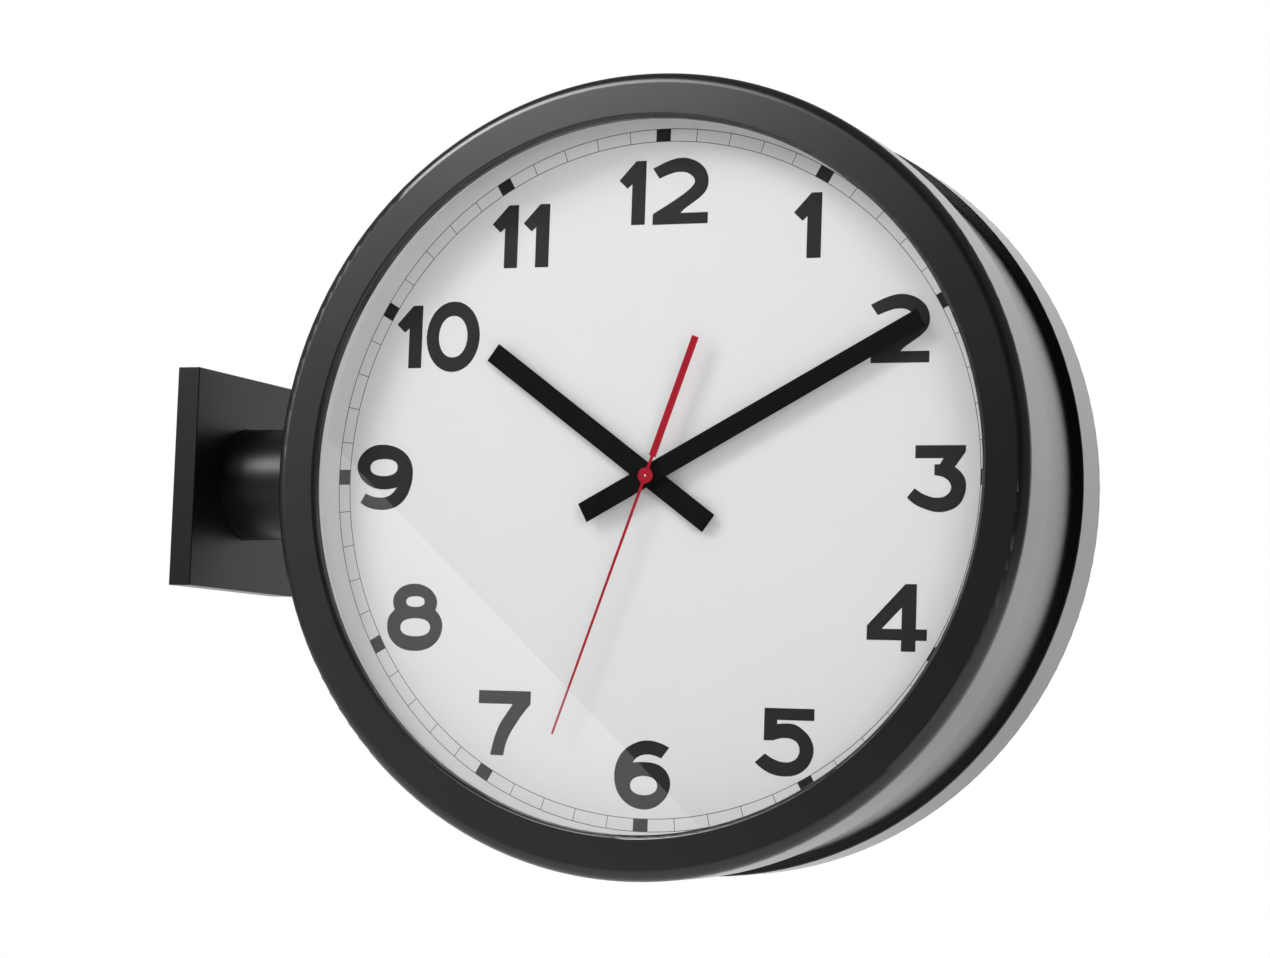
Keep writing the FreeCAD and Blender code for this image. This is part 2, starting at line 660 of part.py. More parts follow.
def build_dial_carrier(side):
    """The moulded ring behind the dial: it fills the shell and reaches into the drum."""
    body = new_body(side + "_dial_carrier_body")
    plate_back = dial_back + carrier_plate
    rim_end = flank - waist_wall
    drum_slip = waist_inside - clearance
    revolve(body, [
        (carrier_window, dial_back),
        (slip_radius, dial_back),
        (slip_radius, rim_end),
        (slip_radius - carrier_wall, rim_end),
        (slip_radius - carrier_wall, plate_back),
        (drum_slip, plate_back),
        (drum_slip, carrier_depth),
        (drum_slip - carrier_wall, carrier_depth),
        (drum_slip - carrier_wall, plate_back),
        (carrier_window, plate_back),
    ])
    boss_top = drum_slip - carrier_wall / 2
    boss_bottom = boss_top - carrier_boss_height
    bosses = upright_sketch(body, head_screw_place - carrier_boss_width / 2)
    half = carrier_boss_width / 2
    draw_box(bosses, -half, boss_bottom, half, boss_top)
    draw_box(bosses, -half, -boss_top, half, -boss_bottom)
    pad(body, bosses, carrier_boss_width)
    holes = new_sketch(body, "XY_Plane")
    draw_circle(holes, 0, head_screw_place, head_screw_radius)
    draw_circle(holes, 0, ring_screw_place, ring_screw_radius)
    pocket(body, holes)
    settle(side, "dial_carrier", body)


def head_screws(side):
    """Above and below: a screw that holds the carrier to the drum, a grub screw in the ring."""
    screws = []
    length = waist_radius - (waist_inside - clearance - carrier_wall / 2 - carrier_boss_height)
    down = Rotation(Vector(1, 0, 0), 180)
    for name, sign, rotation in (("top", 1, down), ("bottom", -1, Rotation())):
        shank = cylinder(f"{side}_{name}_shank", head_screw_radius - clearance / 2, length,
                         0, head_screw_place, waist_radius * sign, rotation)
        outer = (waist_radius + head_screw_head_height) * sign
        head = cylinder(f"{side}_{name}_head", head_screw_head_radius, head_screw_head_height,
                        0, head_screw_place, outer, rotation)
        screws.append(fuse(f"{side}_{name}_screw", [shank, head]))
        screws.append(cylinder(f"{side}_{name}_grub", ring_screw_radius - clearance / 2,
                               shell_wall - ring_screw_sunk + clearance + carrier_wall,
                               0, ring_screw_place, (shell_radius - ring_screw_sunk) * sign,
                               rotation))
    return move_to(side, group(side + "_head_screws", screws))


# ---- movement of one side ----

def build_movement_case(side):
    """The moulded case: train bay above, battery bay below, threaded bush in front."""
    body = new_body(side + "_movement_case_body")
    half_width, half_height = case_width / 2, case_height / 2
    outside = upright_sketch(body, dial_back)
    draw_box(outside, -half_width, -half_height, half_width, half_height)
    pad(body, outside, case_depth)
    bays = upright_sketch(body, case_back)
    draw_box(bays, -half_bay, train_low, half_bay, train_high)
    draw_box(bays, -half_bay, bay_low, half_bay, bay_high)
    pocket(body, bays, case_depth - case_wall, deeper=False)
    bush = upright_sketch(body, -bush_proud)
    draw_circle(bush, 0, 0, bush_radius)
    pad(body, bush, bush_proud + dial_back)
    bore = upright_sketch(body, -bush_proud)
    draw_circle(bore, 0, 0, bush_bore)
    pocket(body, bore, bush_proud + case_inside)
    posts = upright_sketch(body, case_inside)
    draw_circle(posts, -post_across, post_up, post_radius)
    draw_circle(posts, post_across, post_up, post_radius)
    pad(body, posts, stator_place - case_inside)
    pivots = upright_sketch(body, case_inside)
    for axis in (third_axis, reverse_axis, fifth_axis, rotor_axis, knob_axis):
        draw_circle(pivots, axis[0], axis[1], arbor_radius + running_gap)
    pocket(body, pivots, pivot_depth, deeper=False)
    settle(side, "movement_case", body)


def build_movement_cover(side):
    """The plate that closes the train bay; the battery bay stays open at the back."""
    body = new_body(side + "_movement_cover_body")
    half_width = case_width / 2
    plate = upright_sketch(body, case_back)
    draw_box(plate, -half_width, bay_high, half_width, case_height / 2)
    pad(body, plate, case_wall)
    pivots = upright_sketch(body, case_back)
    for axis in (CENTRE, third_axis, reverse_axis, fifth_axis, rotor_axis):
        draw_circle(pivots, axis[0], axis[1], arbor_radius + running_gap)
    pocket(body, pivots, pivot_depth)
    knob_hole = upright_sketch(body, case_back)
    draw_circle(knob_hole, knob_axis[0], knob_axis[1], knob_shaft_radius + running_gap)
    pocket(body, knob_hole, case_wall)
    settle(side, "movement_cover", body)


def build_bush_nut(side):
    """The hexagon nut that clamps the dial to the movement."""
    blank = doc.addObject("Part::Prism", side + "_nut_blank")
    blank.Polygon = 6
    bind(blank, "Circumradius", nut_radius)
    bind(blank, "Height", nut_height)
    place(blank, 0, -nut_height, 0, ALONG_Y)
    bore = cylinder(side + "_nut_bore", bush_radius + clearance / 2, nut_height,
                    0, -nut_height, 0)
    settle(side, "bush_nut", cut(side + "_nut", blank, bore))


def build_hour_wheel(side):
    """The hour wheel and the tube that carries the hour hand."""
    wheel = toothed_disc(side + "_hour_teeth", HOUR_TEETH, hour_module,
                         gap_phase(HOUR_TEETH, direction(CENTRE, reverse_axis)),
                         hour_wheel_place, motion_thickness, CENTRE)
    tube = cylinder(side + "_hour_tube", hour_tube_radius, hour_wheel_place - hour_tube_end,
                    0, hour_tube_end, 0)
    solid = fuse(side + "_hour_solid", [wheel, tube])
    bore = cylinder(side + "_hour_bore", hour_bore,
                    hour_wheel_place + motion_thickness - hour_tube_end, 0, hour_tube_end, 0)
    settle(side, "hour_wheel", cut(side + "_hour_wheel_part", solid, bore))


def build_cannon_pinion(side):
    """The tube of the minute hand, with its pinion and the shoulders of the clutch."""
    pinion = toothed_disc(side + "_cannon_teeth", CANNON_TEETH, motion_module,
                          direction(CENTRE, reverse_axis), reverse_wheel_place - pinion_overhang,
                          pinion_length(wheel_thickness), CENTRE)
    shoulder_start = reverse_wheel_place + wheel_thickness
    shoulder = cylinder(side + "_shoulder", clutch_radius,
                        centre_wheel_place - clutch_gap - shoulder_start, 0, shoulder_start, 0)
    collar_start = centre_wheel_place + wheel_thickness + clutch_gap
    collar = cylinder(side + "_collar", clutch_radius, clutch_collar, 0, collar_start, 0)
    length = collar_start + clutch_collar - minute_tube_end
    tube = cylinder(side + "_minute_tube", minute_tube_radius, length, 0, minute_tube_end, 0)
    solid = fuse(side + "_cannon_solid", [pinion, shoulder, collar, tube])
    bore = cylinder(side + "_minute_bore", minute_bore, length, 0, minute_tube_end, 0)
    settle(side, "cannon_pinion", cut(side + "_cannon_part", solid, bore))


def build_centre_wheel(side):
    """The wheel that the train turns; it slips on the minute tube when the hands are set."""
    wheel = toothed_disc(side + "_centre_teeth", CENTRE_TEETH, centre_module,
                         gap_phase(CENTRE_TEETH, direction(CENTRE, third_axis)),
                         centre_wheel_place, wheel_thickness, CENTRE)
    bore = cylinder(side + "_centre_bore", minute_tube_radius + running_gap, wheel_thickness,
                    0, centre_wheel_place, 0)
    settle(side, "centre_wheel", cut(side + "_centre_part", wheel, bore))


def build_second_wheel(side):
    """The second wheel on the arbor that runs through the tubes to the second hand."""
    wheel = toothed_disc(side + "_second_teeth", SECOND_TEETH, train_module,
                         gap_phase(SECOND_TEETH, direction(CENTRE, fifth_axis)),
                         second_wheel_place, wheel_thickness, CENTRE)
    pinion = toothed_disc(side + "_second_pinion", SECOND_PINION_TEETH, train_module,
                          direction(CENTRE, third_axis), third_wheel_place - pinion_overhang,
                          second_wheel_place - third_wheel_place + pinion_overhang, CENTRE)
    arbor = cylinder(side + "_second_arbor", arbor_radius, arbor_back - second_arbor_end,
                     0, second_arbor_end, 0)
    settle(side, "second_wheel", fuse(side + "_second_wheel_part", [wheel, pinion, arbor]))


def pinion_length(thickness):
    return thickness + pinion_overhang * 2


def train_arbor(name, axis):
    return cylinder(name, arbor_radius, arbor_back - arbor_front, axis[0], arbor_front, axis[1])


def build_third_wheel(side):
    """The third wheel: the second pinion turns it, its own pinion turns the centre wheel."""
    wheel = toothed_disc(side + "_third_teeth", THIRD_TEETH, train_module,
                         gap_phase(THIRD_TEETH, direction(third_axis, CENTRE)),
                         third_wheel_place, wheel_thickness, third_axis)
    pinion = toothed_disc(side + "_third_pinion", THIRD_PINION_TEETH, centre_module,
                          direction(third_axis, CENTRE), centre_wheel_place - pinion_overhang,
                          third_wheel_place - centre_wheel_place + pinion_overhang, third_axis)
    arbor = train_arbor(side + "_third_arbor", third_axis)
    settle(side, "third_wheel", fuse(side + "_third_wheel_part", [wheel, pinion, arbor]))


def build_fifth_wheel(side):
    """The fifth wheel, between the rotor and the second wheel."""
    wheel = toothed_disc(side + "_fifth_teeth", FIFTH_TEETH, rotor_module,
                         gap_phase(FIFTH_TEETH, direction(fifth_axis, rotor_axis)),
                         fifth_wheel_place, wheel_thickness, fifth_axis)
    pinion = toothed_disc(side + "_fifth_pinion", FIFTH_PINION_TEETH, train_module,
                          direction(fifth_axis, CENTRE), second_wheel_place - pinion_overhang,
                          fifth_wheel_place - second_wheel_place + pinion_overhang, fifth_axis)
    arbor = train_arbor(side + "_fifth_arbor", fifth_axis)
    settle(side, "fifth_wheel", fuse(side + "_fifth_wheel_part", [wheel, pinion, arbor]))


def build_rotor(side):
    """The magnet of the stepping motor and its pinion."""
    pinion = toothed_disc(side + "_rotor_pinion", ROTOR_PINION_TEETH, rotor_module,
                          direction(rotor_axis, fifth_axis), fifth_wheel_place - pinion_overhang,
                          stator_place - fifth_wheel_place + pinion_overhang, rotor_axis)
    magnet = cylinder(side + "_rotor_magnet", rotor_magnet_radius, rotor_magnet_length,
                      rotor_axis[0], stator_place, rotor_axis[1])
    arbor = train_arbor(side + "_rotor_arbor", rotor_axis)
    settle(side, "rotor", fuse(side + "_rotor_part", [pinion, magnet, arbor]))


def build_reverse_wheel(side):
    """The reverse wheel: the cannon pinion turns it, its own pinion turns the hour wheel."""
    wheel = toothed_disc(side + "_reverse_teeth", REVERSE_TEETH, motion_module,
                         gap_phase(REVERSE_TEETH, direction(reverse_axis, CENTRE)),
                         reverse_wheel_place, wheel_thickness, reverse_axis)
    pinion = toothed_disc(side + "_reverse_pinion", REVERSE_PINION_TEETH, hour_module,
                          direction(reverse_axis, CENTRE), hour_wheel_place,
                          reverse_wheel_place - hour_wheel_place, reverse_axis)
    arbor = train_arbor(side + "_reverse_arbor", reverse_axis)
    settle(side, "reverse_wheel", fuse(side + "_reverse_wheel_part", [wheel, pinion, arbor]))


def knob_phase():
    """The phase of the knob's pinion that meshes with the reverse wheel as that one stands."""
    towards_knob = direction(reverse_axis, knob_axis)
    pitch = 360 / REVERSE_TEETH
    first_tooth = gap_phase(REVERSE_TEETH, direction(reverse_axis, CENTRE))
    past_line = (first_tooth - towards_knob + pitch / 2) % pitch - pitch / 2
    return gap_phase(KNOB_PINION_TEETH, direction(knob_axis, reverse_axis)
                     - past_line * REVERSE_TEETH / KNOB_PINION_TEETH)


def build_setting_knob(side):
    """The knob at the back of the movement that sets the hands."""
    pinion = toothed_disc(side + "_knob_pinion", KNOB_PINION_TEETH, motion_module, knob_phase(),
                          reverse_wheel_place - pinion_overhang, pinion_length(wheel_thickness),
                          knob_axis)
    grip = toothed_disc(side + "_knob_grip", KNOB_RIBS, knob_module, 0, cover_back + knob_gap,
                        knob_height, knob_axis)
    shaft_front = case_inside + pivot_end_gap
    shaft = cylinder(side + "_knob_shaft", knob_shaft_radius, cover_back + knob_gap - shaft_front,
                     knob_axis[0], shaft_front, knob_axis[1])
    pivot = cylinder(side + "_knob_pivot", arbor_radius, shaft_front - arbor_front,
                     knob_axis[0], arbor_front, knob_axis[1])
    settle(side, "setting_knob", fuse(side + "_setting_knob_part", [pinion, grip, shaft, pivot]))


def build_stator(side):
    """The steel plate that carries the coil's field round the rotor."""
    body = new_body(side + "_stator_body")
    half, window = stator_width / 2, stator_window_width / 2
    plate = upright_sketch(body, stator_place)
    draw_outline(plate, [(-half, stator_low), (half, stator_low), (half, stator_high),
                         (window, stator_high), (window, stator_window_low),
                         (-window, stator_window_low), (-window, stator_high),
                         (-half, stator_high)])
    pad(body, plate, stator_thickness)
    hole = upright_sketch(body, stator_place)
    draw_circle(hole, rotor_axis[0], rotor_axis[1], rotor_magnet_radius + rotor_air_gap)
    pocket(body, hole, stator_thickness)
    settle(side, "stator", body)


def build_coil(side):
    """The winding on its core strip, whose two feet rest on the stator's legs."""
    winding = cylinder(side + "_winding", coil_radius, coil_length, -(coil_length / 2),
                       coil_place, coil_up, ALONG_X)
    core_front = coil_place - core_thickness / 2
    core_low = coil_up - core_height / 2
    core = box(side + "_core", -(stator_width / 2), core_front, core_low, stator_width,
               core_thickness, core_height)
    feet = [box(f"{side}_{name}_foot", start, core_front, core_low, core_foot,
                stator_place - core_front, core_height)
            for name, start in (("left", -(stator_width / 2)),
                                ("right", stator_width / 2 - core_foot))]
    settle(side, "coil", fuse(side + "_coil_part", [winding, core] + feet))


def battery_height():
    return bay_low + battery_play + battery_radius


def battery_place():
    return case_inside + battery_play + battery_radius


def build_battery(side):
    """One AA cell, its stud to the right."""
    start = -((battery_length + battery_stud_length) / 2)
    can = cylinder(side + "_can", battery_radius, battery_length, start, battery_place(),
                   battery_height(), ALONG_X)
    stud = cylinder(side + "_stud", battery_stud_radius, battery_stud_length,
                    start + battery_length, battery_place(), battery_height(), ALONG_X)
    settle(side, "battery", fuse(side + "_battery_part", [can, stud]))


def build_battery_contacts(side):
    """Two sprung strips at the ends of the battery bay."""
    strips = []
    low, depth = battery_height() - contact_height / 2, battery_place() - contact_height / 2
    bump = half_bay - contact_thickness - (battery_length + battery_stud_length) / 2
    for name, x, bump_start in (
            ("minus", -half_bay, contact_thickness - half_bay),
            ("plus", half_bay - contact_thickness, half_bay - contact_thickness - bump)):
        strip = box(f"{side}_{name}_strip", x, depth, low, contact_thickness, contact_height,
                    contact_height)
        spring = cylinder(f"{side}_{name}_bump", battery_stud_radius, bump, bump_start,
                          battery_place(), battery_height(), ALONG_X)
        strips.append(fuse(f"{side}_{name}_contact", [strip, spring]))
    settle(side, "battery_contacts", group(side + "_contacts_group", strips))


# ---- hands of one side ----

def build_bar_hand(side, name, length, tail, tip_width, tail_width, height, angle, tube_radius):
    """A flat bar with square ends and a collet behind it that grips its tube."""
    body = new_body(f"{side}_{name}_body")
    bar = upright_sketch(body, -(height + hand_thickness), angle)
    draw_outline(bar, [(-(tail_width / 2), -tail), (tail_width / 2, -tail),
                       (tip_width / 2, length), (-(tip_width / 2), length)])
    pad(body, bar, hand_thickness)
    collet = upright_sketch(body, -height)
    draw_circle(collet, 0, 0, tube_radius + collet_wall)
    pad(body, collet, collet_height)
    hole = upright_sketch(body, -(height + hand_thickness))
    draw_circle(hole, 0, 0, tube_radius + press_gap)
    pocket(body, hole, hand_thickness + collet_height)
    settle(side, name, body)


def build_second_hand(side):
    """The red needle with its disc and its long wide tail."""
    body = new_body(side + "_second_hand_body")
    front = -(second_hand_height + second_hand_thickness)
    root, tip, wide = needle_root_width / 2, needle_tip_width / 2, counterweight_width / 2
    needle = upright_sketch(body, front, second_hand_angle)
    draw_outline(needle, [
        (-tip, second_hand_length), (-root, 0), (-root, -counterweight_start),
        (-wide, -counterweight_start), (-wide, -second_hand_tail), (wide, -second_hand_tail),
        (wide, -counterweight_start), (root, -counterweight_start), (root, 0),
        (tip, second_hand_length)])
    pad(body, needle, second_hand_thickness)
    disc = upright_sketch(body, front)
    draw_circle(disc, 0, 0, second_hub_radius)
    pad(body, disc, second_hand_thickness)
    collet = upright_sketch(body, -second_hand_height)
    draw_circle(collet, 0, 0, arbor_radius * 2)
    collet_length = second_hand_height + minute_tube_end - clearance * 2
    pad(body, collet, collet_length)
    hole = upright_sketch(body, front)
    draw_circle(hole, 0, 0, arbor_radius + press_gap)
    pocket(body, hole, second_hand_thickness + collet_length)
    settle(side, "second_hand", body)


# ---- drum, arm and wall plate ----

def build_waist_drum():
    """The drum between the rings, with a flange at each end that fills the shell."""
    body = new_body("waist_drum_body")
    end = flank_setback + waist_wall
    revolve(body, [
        (waist_inside, -end), (slip_radius, -end), (slip_radius, -flank_setback),
        (waist_radius, -flank_setback), (waist_radius, flank_setback),
        (slip_radius, flank_setback), (slip_radius, end), (waist_inside, end)])
    screw_place = dial_setback - head_screw_place
    screws = new_sketch(body, "XY_Plane")
    draw_circle(screws, 0, -screw_place, head_screw_radius)
    draw_circle(screws, 0, screw_place, head_screw_radius)
    pocket(body, screws)
    bolts = new_sketch(body, "YZ_Plane")
    draw_circle(bolts, 0, arm_bolt_place, arm_bolt_radius)
    draw_circle(bolts, 0, -arm_bolt_place, arm_bolt_radius)
    pocket(body, bolts, waist_radius + waist_wall)
    place(body, clock_x, 0, 0)
    keep("waist_drum", body)


tube_start = base_thickness + flange_thickness
tube_inside = arm_radius - arm_wall
drum_side = clock_x - waist_radius


def bolt_holes(name, start, length):
    """The pair of holes for the saddle bolts."""
    return [cylinder(f"{name}_{index}", arm_bolt_radius, length, start, 0,
                     arm_bolt_place * sign, ALONG_X) for index, sign in ((1, 1), (2, -1))]


def flange_screw_spots():
    spots = []
    for quarter in range(4):
        angle = 45 + 90 * quarter
        spots.append((across(flange_screw_circle, angle), up(flange_screw_circle, angle)))
    return spots


def flange_holes(name, start, length):
    return [cylinder(f"{name}_{index}", flange_screw_radius, length, start, y, z, ALONG_X)
            for index, (y, z) in enumerate(flange_screw_spots())]


def build_arm_tube():
    """The welded arm: flange, round tube and a plug whose end follows the drum's curve."""
    flange = cylinder("arm_flange", flange_radius, flange_thickness, base_thickness, 0, 0,
                      ALONG_X)
    length = drum_side + arm_radius - tube_start
    outside = cylinder("arm_outside", arm_radius, length, tube_start, 0, 0, ALONG_X)
    plug_start = drum_side - arm_plug_length
    hollow = cylinder("arm_hollow", tube_inside, plug_start - base_thickness, base_thickness,
                      0, 0, ALONG_X)
    away = [hollow, cylinder("arm_mouth", waist_radius, arm_radius * 4, clock_x,
                             -(arm_radius * 2), 0)]
    away += bolt_holes("arm_hole", plug_start, arm_plug_length + arm_radius)
    away += flange_holes("arm_flange_hole", base_thickness, flange_thickness)
    solid = fuse("arm_solid", [flange, outside])
    keep("arm_tube", cut("arm_tube_part", solid, fuse("arm_away", away)))


def build_arm_saddle():
    """The block inside the drum that spreads the arm's load."""
    start = drum_side + waist_wall
    blank = box("saddle_blank", start, -(saddle_width / 2), -(saddle_height / 2),
                saddle_thickness, saddle_width, saddle_height)
    shaped = doc.addObject("Part::Common", "saddle_shaped")
    shaped.Base = blank
    shaped.Tool = cylinder("saddle_curve", waist_inside - clearance / 2, saddle_width * 2,
                           clock_x, -saddle_width, 0)
    holes = group("saddle_holes", bolt_holes("saddle_hole", start, saddle_thickness))
    keep("arm_saddle", cut("arm_saddle_part", shaped, holes))


def arm_bolts():
    """Two bolts from inside the drum, through saddle and drum into the plug."""
    bolts = []
    seat = drum_side + waist_wall + saddle_thickness
    start = drum_side - arm_bolt_bite
    for index, sign in ((1, 1), (2, -1)):
        height = arm_bolt_place * sign
        shank = cylinder(f"bolt_shank_{index}", arm_bolt_radius - clearance / 2, seat - start,
                         start, 0, height, ALONG_X)
        head = cylinder(f"bolt_head_{index}", arm_bolt_head_radius, arm_bolt_head_height,
                        seat, 0, height, ALONG_X)
        bolts.append(fuse(f"arm_bolt_{index}", [shank, head]))
    return bolts


def flange_screws():
    """Four screws that hold the flange to the base plate."""
    screws = []
    for index, (y, z) in enumerate(flange_screw_spots()):
        shank = cylinder(f"flange_shank_{index}", flange_screw_radius - clearance / 2,
                         base_thickness + flange_thickness, 0, y, z, ALONG_X)
        head = cylinder(f"flange_head_{index}", flange_screw_head_radius,
                        flange_screw_head_height, tube_start, y, z, ALONG_X)
        screws.append(fuse(f"flange_screw_{index}", [shank, head]))
    return screws


def build_wall_base_plate():
    """The steel plate on the wall, with four screw holes and two tabs for the cover."""
    half_width, half_height = base_width / 2, base_height / 2
    plate = box("base_blank", 0, -half_width, -half_height, base_thickness, base_width,
                base_height)
    solids = [plate]
    for name, low in (("top", half_height - base_tab_thickness), ("bottom", -half_height)):
        solids.append(box(f"base_tab_{name}", 0, -(base_tab_width / 2), low, base_tab_reach,
                          base_tab_width, base_tab_thickness))
    holes = flange_holes("base_hole", 0, base_thickness)
    for y in (1, -1):
        for z in (1, -1):
            holes.append(cylinder(f"wall_hole_{len(holes)}", wall_hole_radius, base_thickness,
                                  0, wall_hole_across / 2 * y, wall_hole_upright / 2 * z,
                                  ALONG_X))
    holes.append(cylinder("tab_hole", cover_screw_radius, base_height, cover_screw_place, 0,
                          -half_height, Rotation()))
    solid = fuse("base_solid", solids)
    keep("wall_base_plate", cut("wall_base_plate_part", solid, fuse("base_holes", holes)))


def build_wall_cover():
    """The box that hides the base plate; the arm passes through its face."""
    body = new_body("wall_cover_body")
    half_width, half_height = cover_width / 2, cover_height / 2
    outside = new_sketch(body, "YZ_Plane")
    draw_box(outside, -half_width, -half_height, half_width, half_height)
    pad(body, outside, cover_depth, deeper=False)
    names = []
    for index, edge in enumerate(body.Shape.Edges, 1):
        middle = edge.CenterOfMass
        at_side = abs(middle.y) > half_width.number - 0.01
        at_end = abs(middle.z) > half_height.number - 0.01
        if at_side and at_end or middle.x > cover_depth.number - 0.01:
            names.append(f"Edge{index}")
    soften(body, names, cover_round)
    inside = new_sketch(body, "YZ_Plane")
    draw_box(inside, cover_wall - half_width, cover_wall - half_height, half_width - cover_wall,
             half_height - cover_wall)
    pocket(body, inside, cover_depth - cover_wall, deeper=False)
    mouth = new_sketch(body, "YZ_Plane")
    draw_circle(mouth, 0, 0, arm_radius + cover_mouth_gap)
    pocket(body, mouth, cover_depth, deeper=False)
    screws = new_sketch(body, "XY_Plane")
    draw_circle(screws, cover_screw_place, 0, cover_screw_radius)
    pocket(body, screws)
    keep("wall_cover", body)


def build_cover_screws():
    """Two grub screws, flush with the cover's top and bottom."""
    length = cover_wall + clearance + base_tab_thickness
    screws = [cylinder(f"cover_screw_{name}", cover_screw_radius - clearance / 2, length,
                       cover_screw_place, 0, low, Rotation())
              for name, low in (("top", base_height / 2 - base_tab_thickness),
                                ("bottom", -(cover_height / 2)))]
    keep("cover_screws", group("cover_screws_group", screws))


# ---- the whole clock ----

for side in ("front", "rear"):
    build_bezel(side)
    build_shell(side)
    build_lens_gasket(side)
    build_lens(side)
    build_reveal_ring(side)
    build_dial(side)
    build_dial_carrier(side)
    build_movement_case(side)
    build_movement_cover(side)
    build_bush_nut(side)
    build_hour_wheel(side)
    build_cannon_pinion(side)
    build_centre_wheel(side)
    build_second_wheel(side)
    build_third_wheel(side)
    build_fifth_wheel(side)
    build_rotor(side)
    build_reverse_wheel(side)
    build_setting_knob(side)
    build_stator(side)
    build_coil(side)
    build_battery(side)
    build_battery_contacts(side)
    build_bar_hand(side, "hour_hand", hour_hand_length, hour_hand_tail, hour_hand_width,
                   hour_hand_width, hour_hand_height, hour_hand_angle, hour_tube_radius)
    build_bar_hand(side, "minute_hand", minute_hand_length, minute_hand_tail,
                   minute_hand_tip_width, minute_hand_tail_width, minute_hand_height,
                   minute_hand_angle, minute_tube_radius)
    build_second_hand(side)

build_waist_drum()
build_arm_tube()
build_arm_saddle()
build_wall_base_plate()
build_wall_cover()
build_cover_screws()
keep("head_screws", group("head_screws_group", [head_screws("front"), head_screws("rear")]))
keep("arm_screws", group("arm_screws_group", arm_bolts() + flange_screws()))

doc.recompute()

faults = [thing.Name for thing in doc.Objects
          if "Invalid" in thing.State or "Error" in thing.State]
for node in nodes:
    if node.Shape.isNull() or not node.Shape.isValid() or not node.Shape.Solids:
        faults.append(node.Label)
if faults:
    raise RuntimeError("not built: " + ", ".join(faults))

os.makedirs("parts", exist_ok=True)
for node in nodes:
    node.Shape.exportStep(f"parts/{node.Label}.step")
    print(f"{node.Label}: {len(node.Shape.Solids)} solid, {node.Shape.Volume:.1f} mm3")
print(len(nodes), "nodes")
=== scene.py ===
# %% [markdown]
# # A double sided station clock
#
# The clock hangs on a short round arm from a square plate on the wall. Two pressed steel rings
# sit on a narrower drum; each holds a flat glass, a white dial and three hands. The shapes come
# from the CAD model, so this lesson gives them their finishes, prints the two dials, adds the
# small detail that a solid model leaves out, and then sets up the studio and the camera.

# %% Load the model
import math

import bpy
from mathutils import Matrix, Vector


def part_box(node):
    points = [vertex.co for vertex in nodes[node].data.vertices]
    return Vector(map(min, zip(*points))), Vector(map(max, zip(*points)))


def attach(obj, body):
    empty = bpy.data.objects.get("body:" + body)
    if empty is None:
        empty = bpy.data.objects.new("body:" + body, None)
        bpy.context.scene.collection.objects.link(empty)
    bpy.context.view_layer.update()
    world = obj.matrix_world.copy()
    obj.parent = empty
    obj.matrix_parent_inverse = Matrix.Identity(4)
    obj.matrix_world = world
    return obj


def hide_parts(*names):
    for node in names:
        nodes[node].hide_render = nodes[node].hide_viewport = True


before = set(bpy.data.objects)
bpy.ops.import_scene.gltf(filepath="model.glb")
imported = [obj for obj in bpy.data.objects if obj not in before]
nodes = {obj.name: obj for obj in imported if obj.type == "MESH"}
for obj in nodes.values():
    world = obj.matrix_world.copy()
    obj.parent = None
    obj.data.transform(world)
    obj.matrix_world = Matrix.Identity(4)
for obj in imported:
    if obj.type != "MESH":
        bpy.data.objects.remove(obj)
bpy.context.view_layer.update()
SIDES = ("front", "rear")

# %% [markdown]
# ## The camera
#
# The photograph looks at the front dial from its right and from a little below. The camera
# could be aimed with a Track To constraint, but plain angles are easier to read and to correct:
# 90 degrees would be a level view, and the small roll is the tilt of the clock in the picture.

# %% Place the camera
CAMERA_PLACE = (0.8092, -1.3855, -0.1239)
CAMERA_TURN = (94.833, -1.974, 22.550)
LENS, FILM_WIDTH = 87.14, 36

bpy.ops.object.camera_add(location=CAMERA_PLACE,
                          rotation=[math.radians(angle) for angle in CAMERA_TURN])
camera = bpy.context.object
camera.name = "camera"
camera.data.sensor_width = FILM_WIDTH
camera.data.lens = LENS
bpy.context.scene.camera = camera
print("camera", [round(value, 3) for value in camera.location])

# %% [markdown]
# ## Where the dials are
#
# Both dials carry the same print, so it is drawn once, flat, with x to the right and y up as in
# the picture of a dial, and then stood up against each dial. The front dial looks along -Y. The
# rear dial is the front one turned half round the upright line through the middle of the clock.

# %% Stand a flat drawing against a dial
MM = 0.001
MICRON = 0.001 * MM
INK = 0.06 * MM
dial_low, dial_high = (Vector(corner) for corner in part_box("front_dial"))
clock_x = (dial_low.x + dial_high.x) / 2
dial_y = dial_low.y


def deselect_all():
    """Leaves Edit Mode, with nothing selected."""
    if bpy.context.object and bpy.context.object.mode != "OBJECT":
        bpy.ops.object.mode_set(mode="OBJECT")
    bpy.ops.object.select_all(action="DESELECT")


def pick(piece):
    """Leaves one object selected and active."""
    deselect_all()
    piece.select_set(True)
    bpy.context.view_layer.objects.active = piece


def settle(piece):
    """Moves a piece's place and turn into its mesh, as on a CAD node."""
    pick(piece)
    bpy.ops.object.transform_apply(location=True, rotation=True, scale=True)


def stand_on_dial(piece, side):
    """Turns a flat drawing upright and puts it on the front or rear dial."""
    piece.rotation_euler = (math.radians(90), 0, 0 if side == "front" else math.radians(180))
    piece.location = (clock_x, dial_y if side == "front" else -dial_y, 0)
    settle(piece)


def copy_of(piece, name):
    """A copy with a mesh of its own."""
    twin = piece.copy()
    twin.data = piece.data.copy()
    twin.name = twin.data.name = name
    bpy.context.collection.objects.link(twin)
    return twin


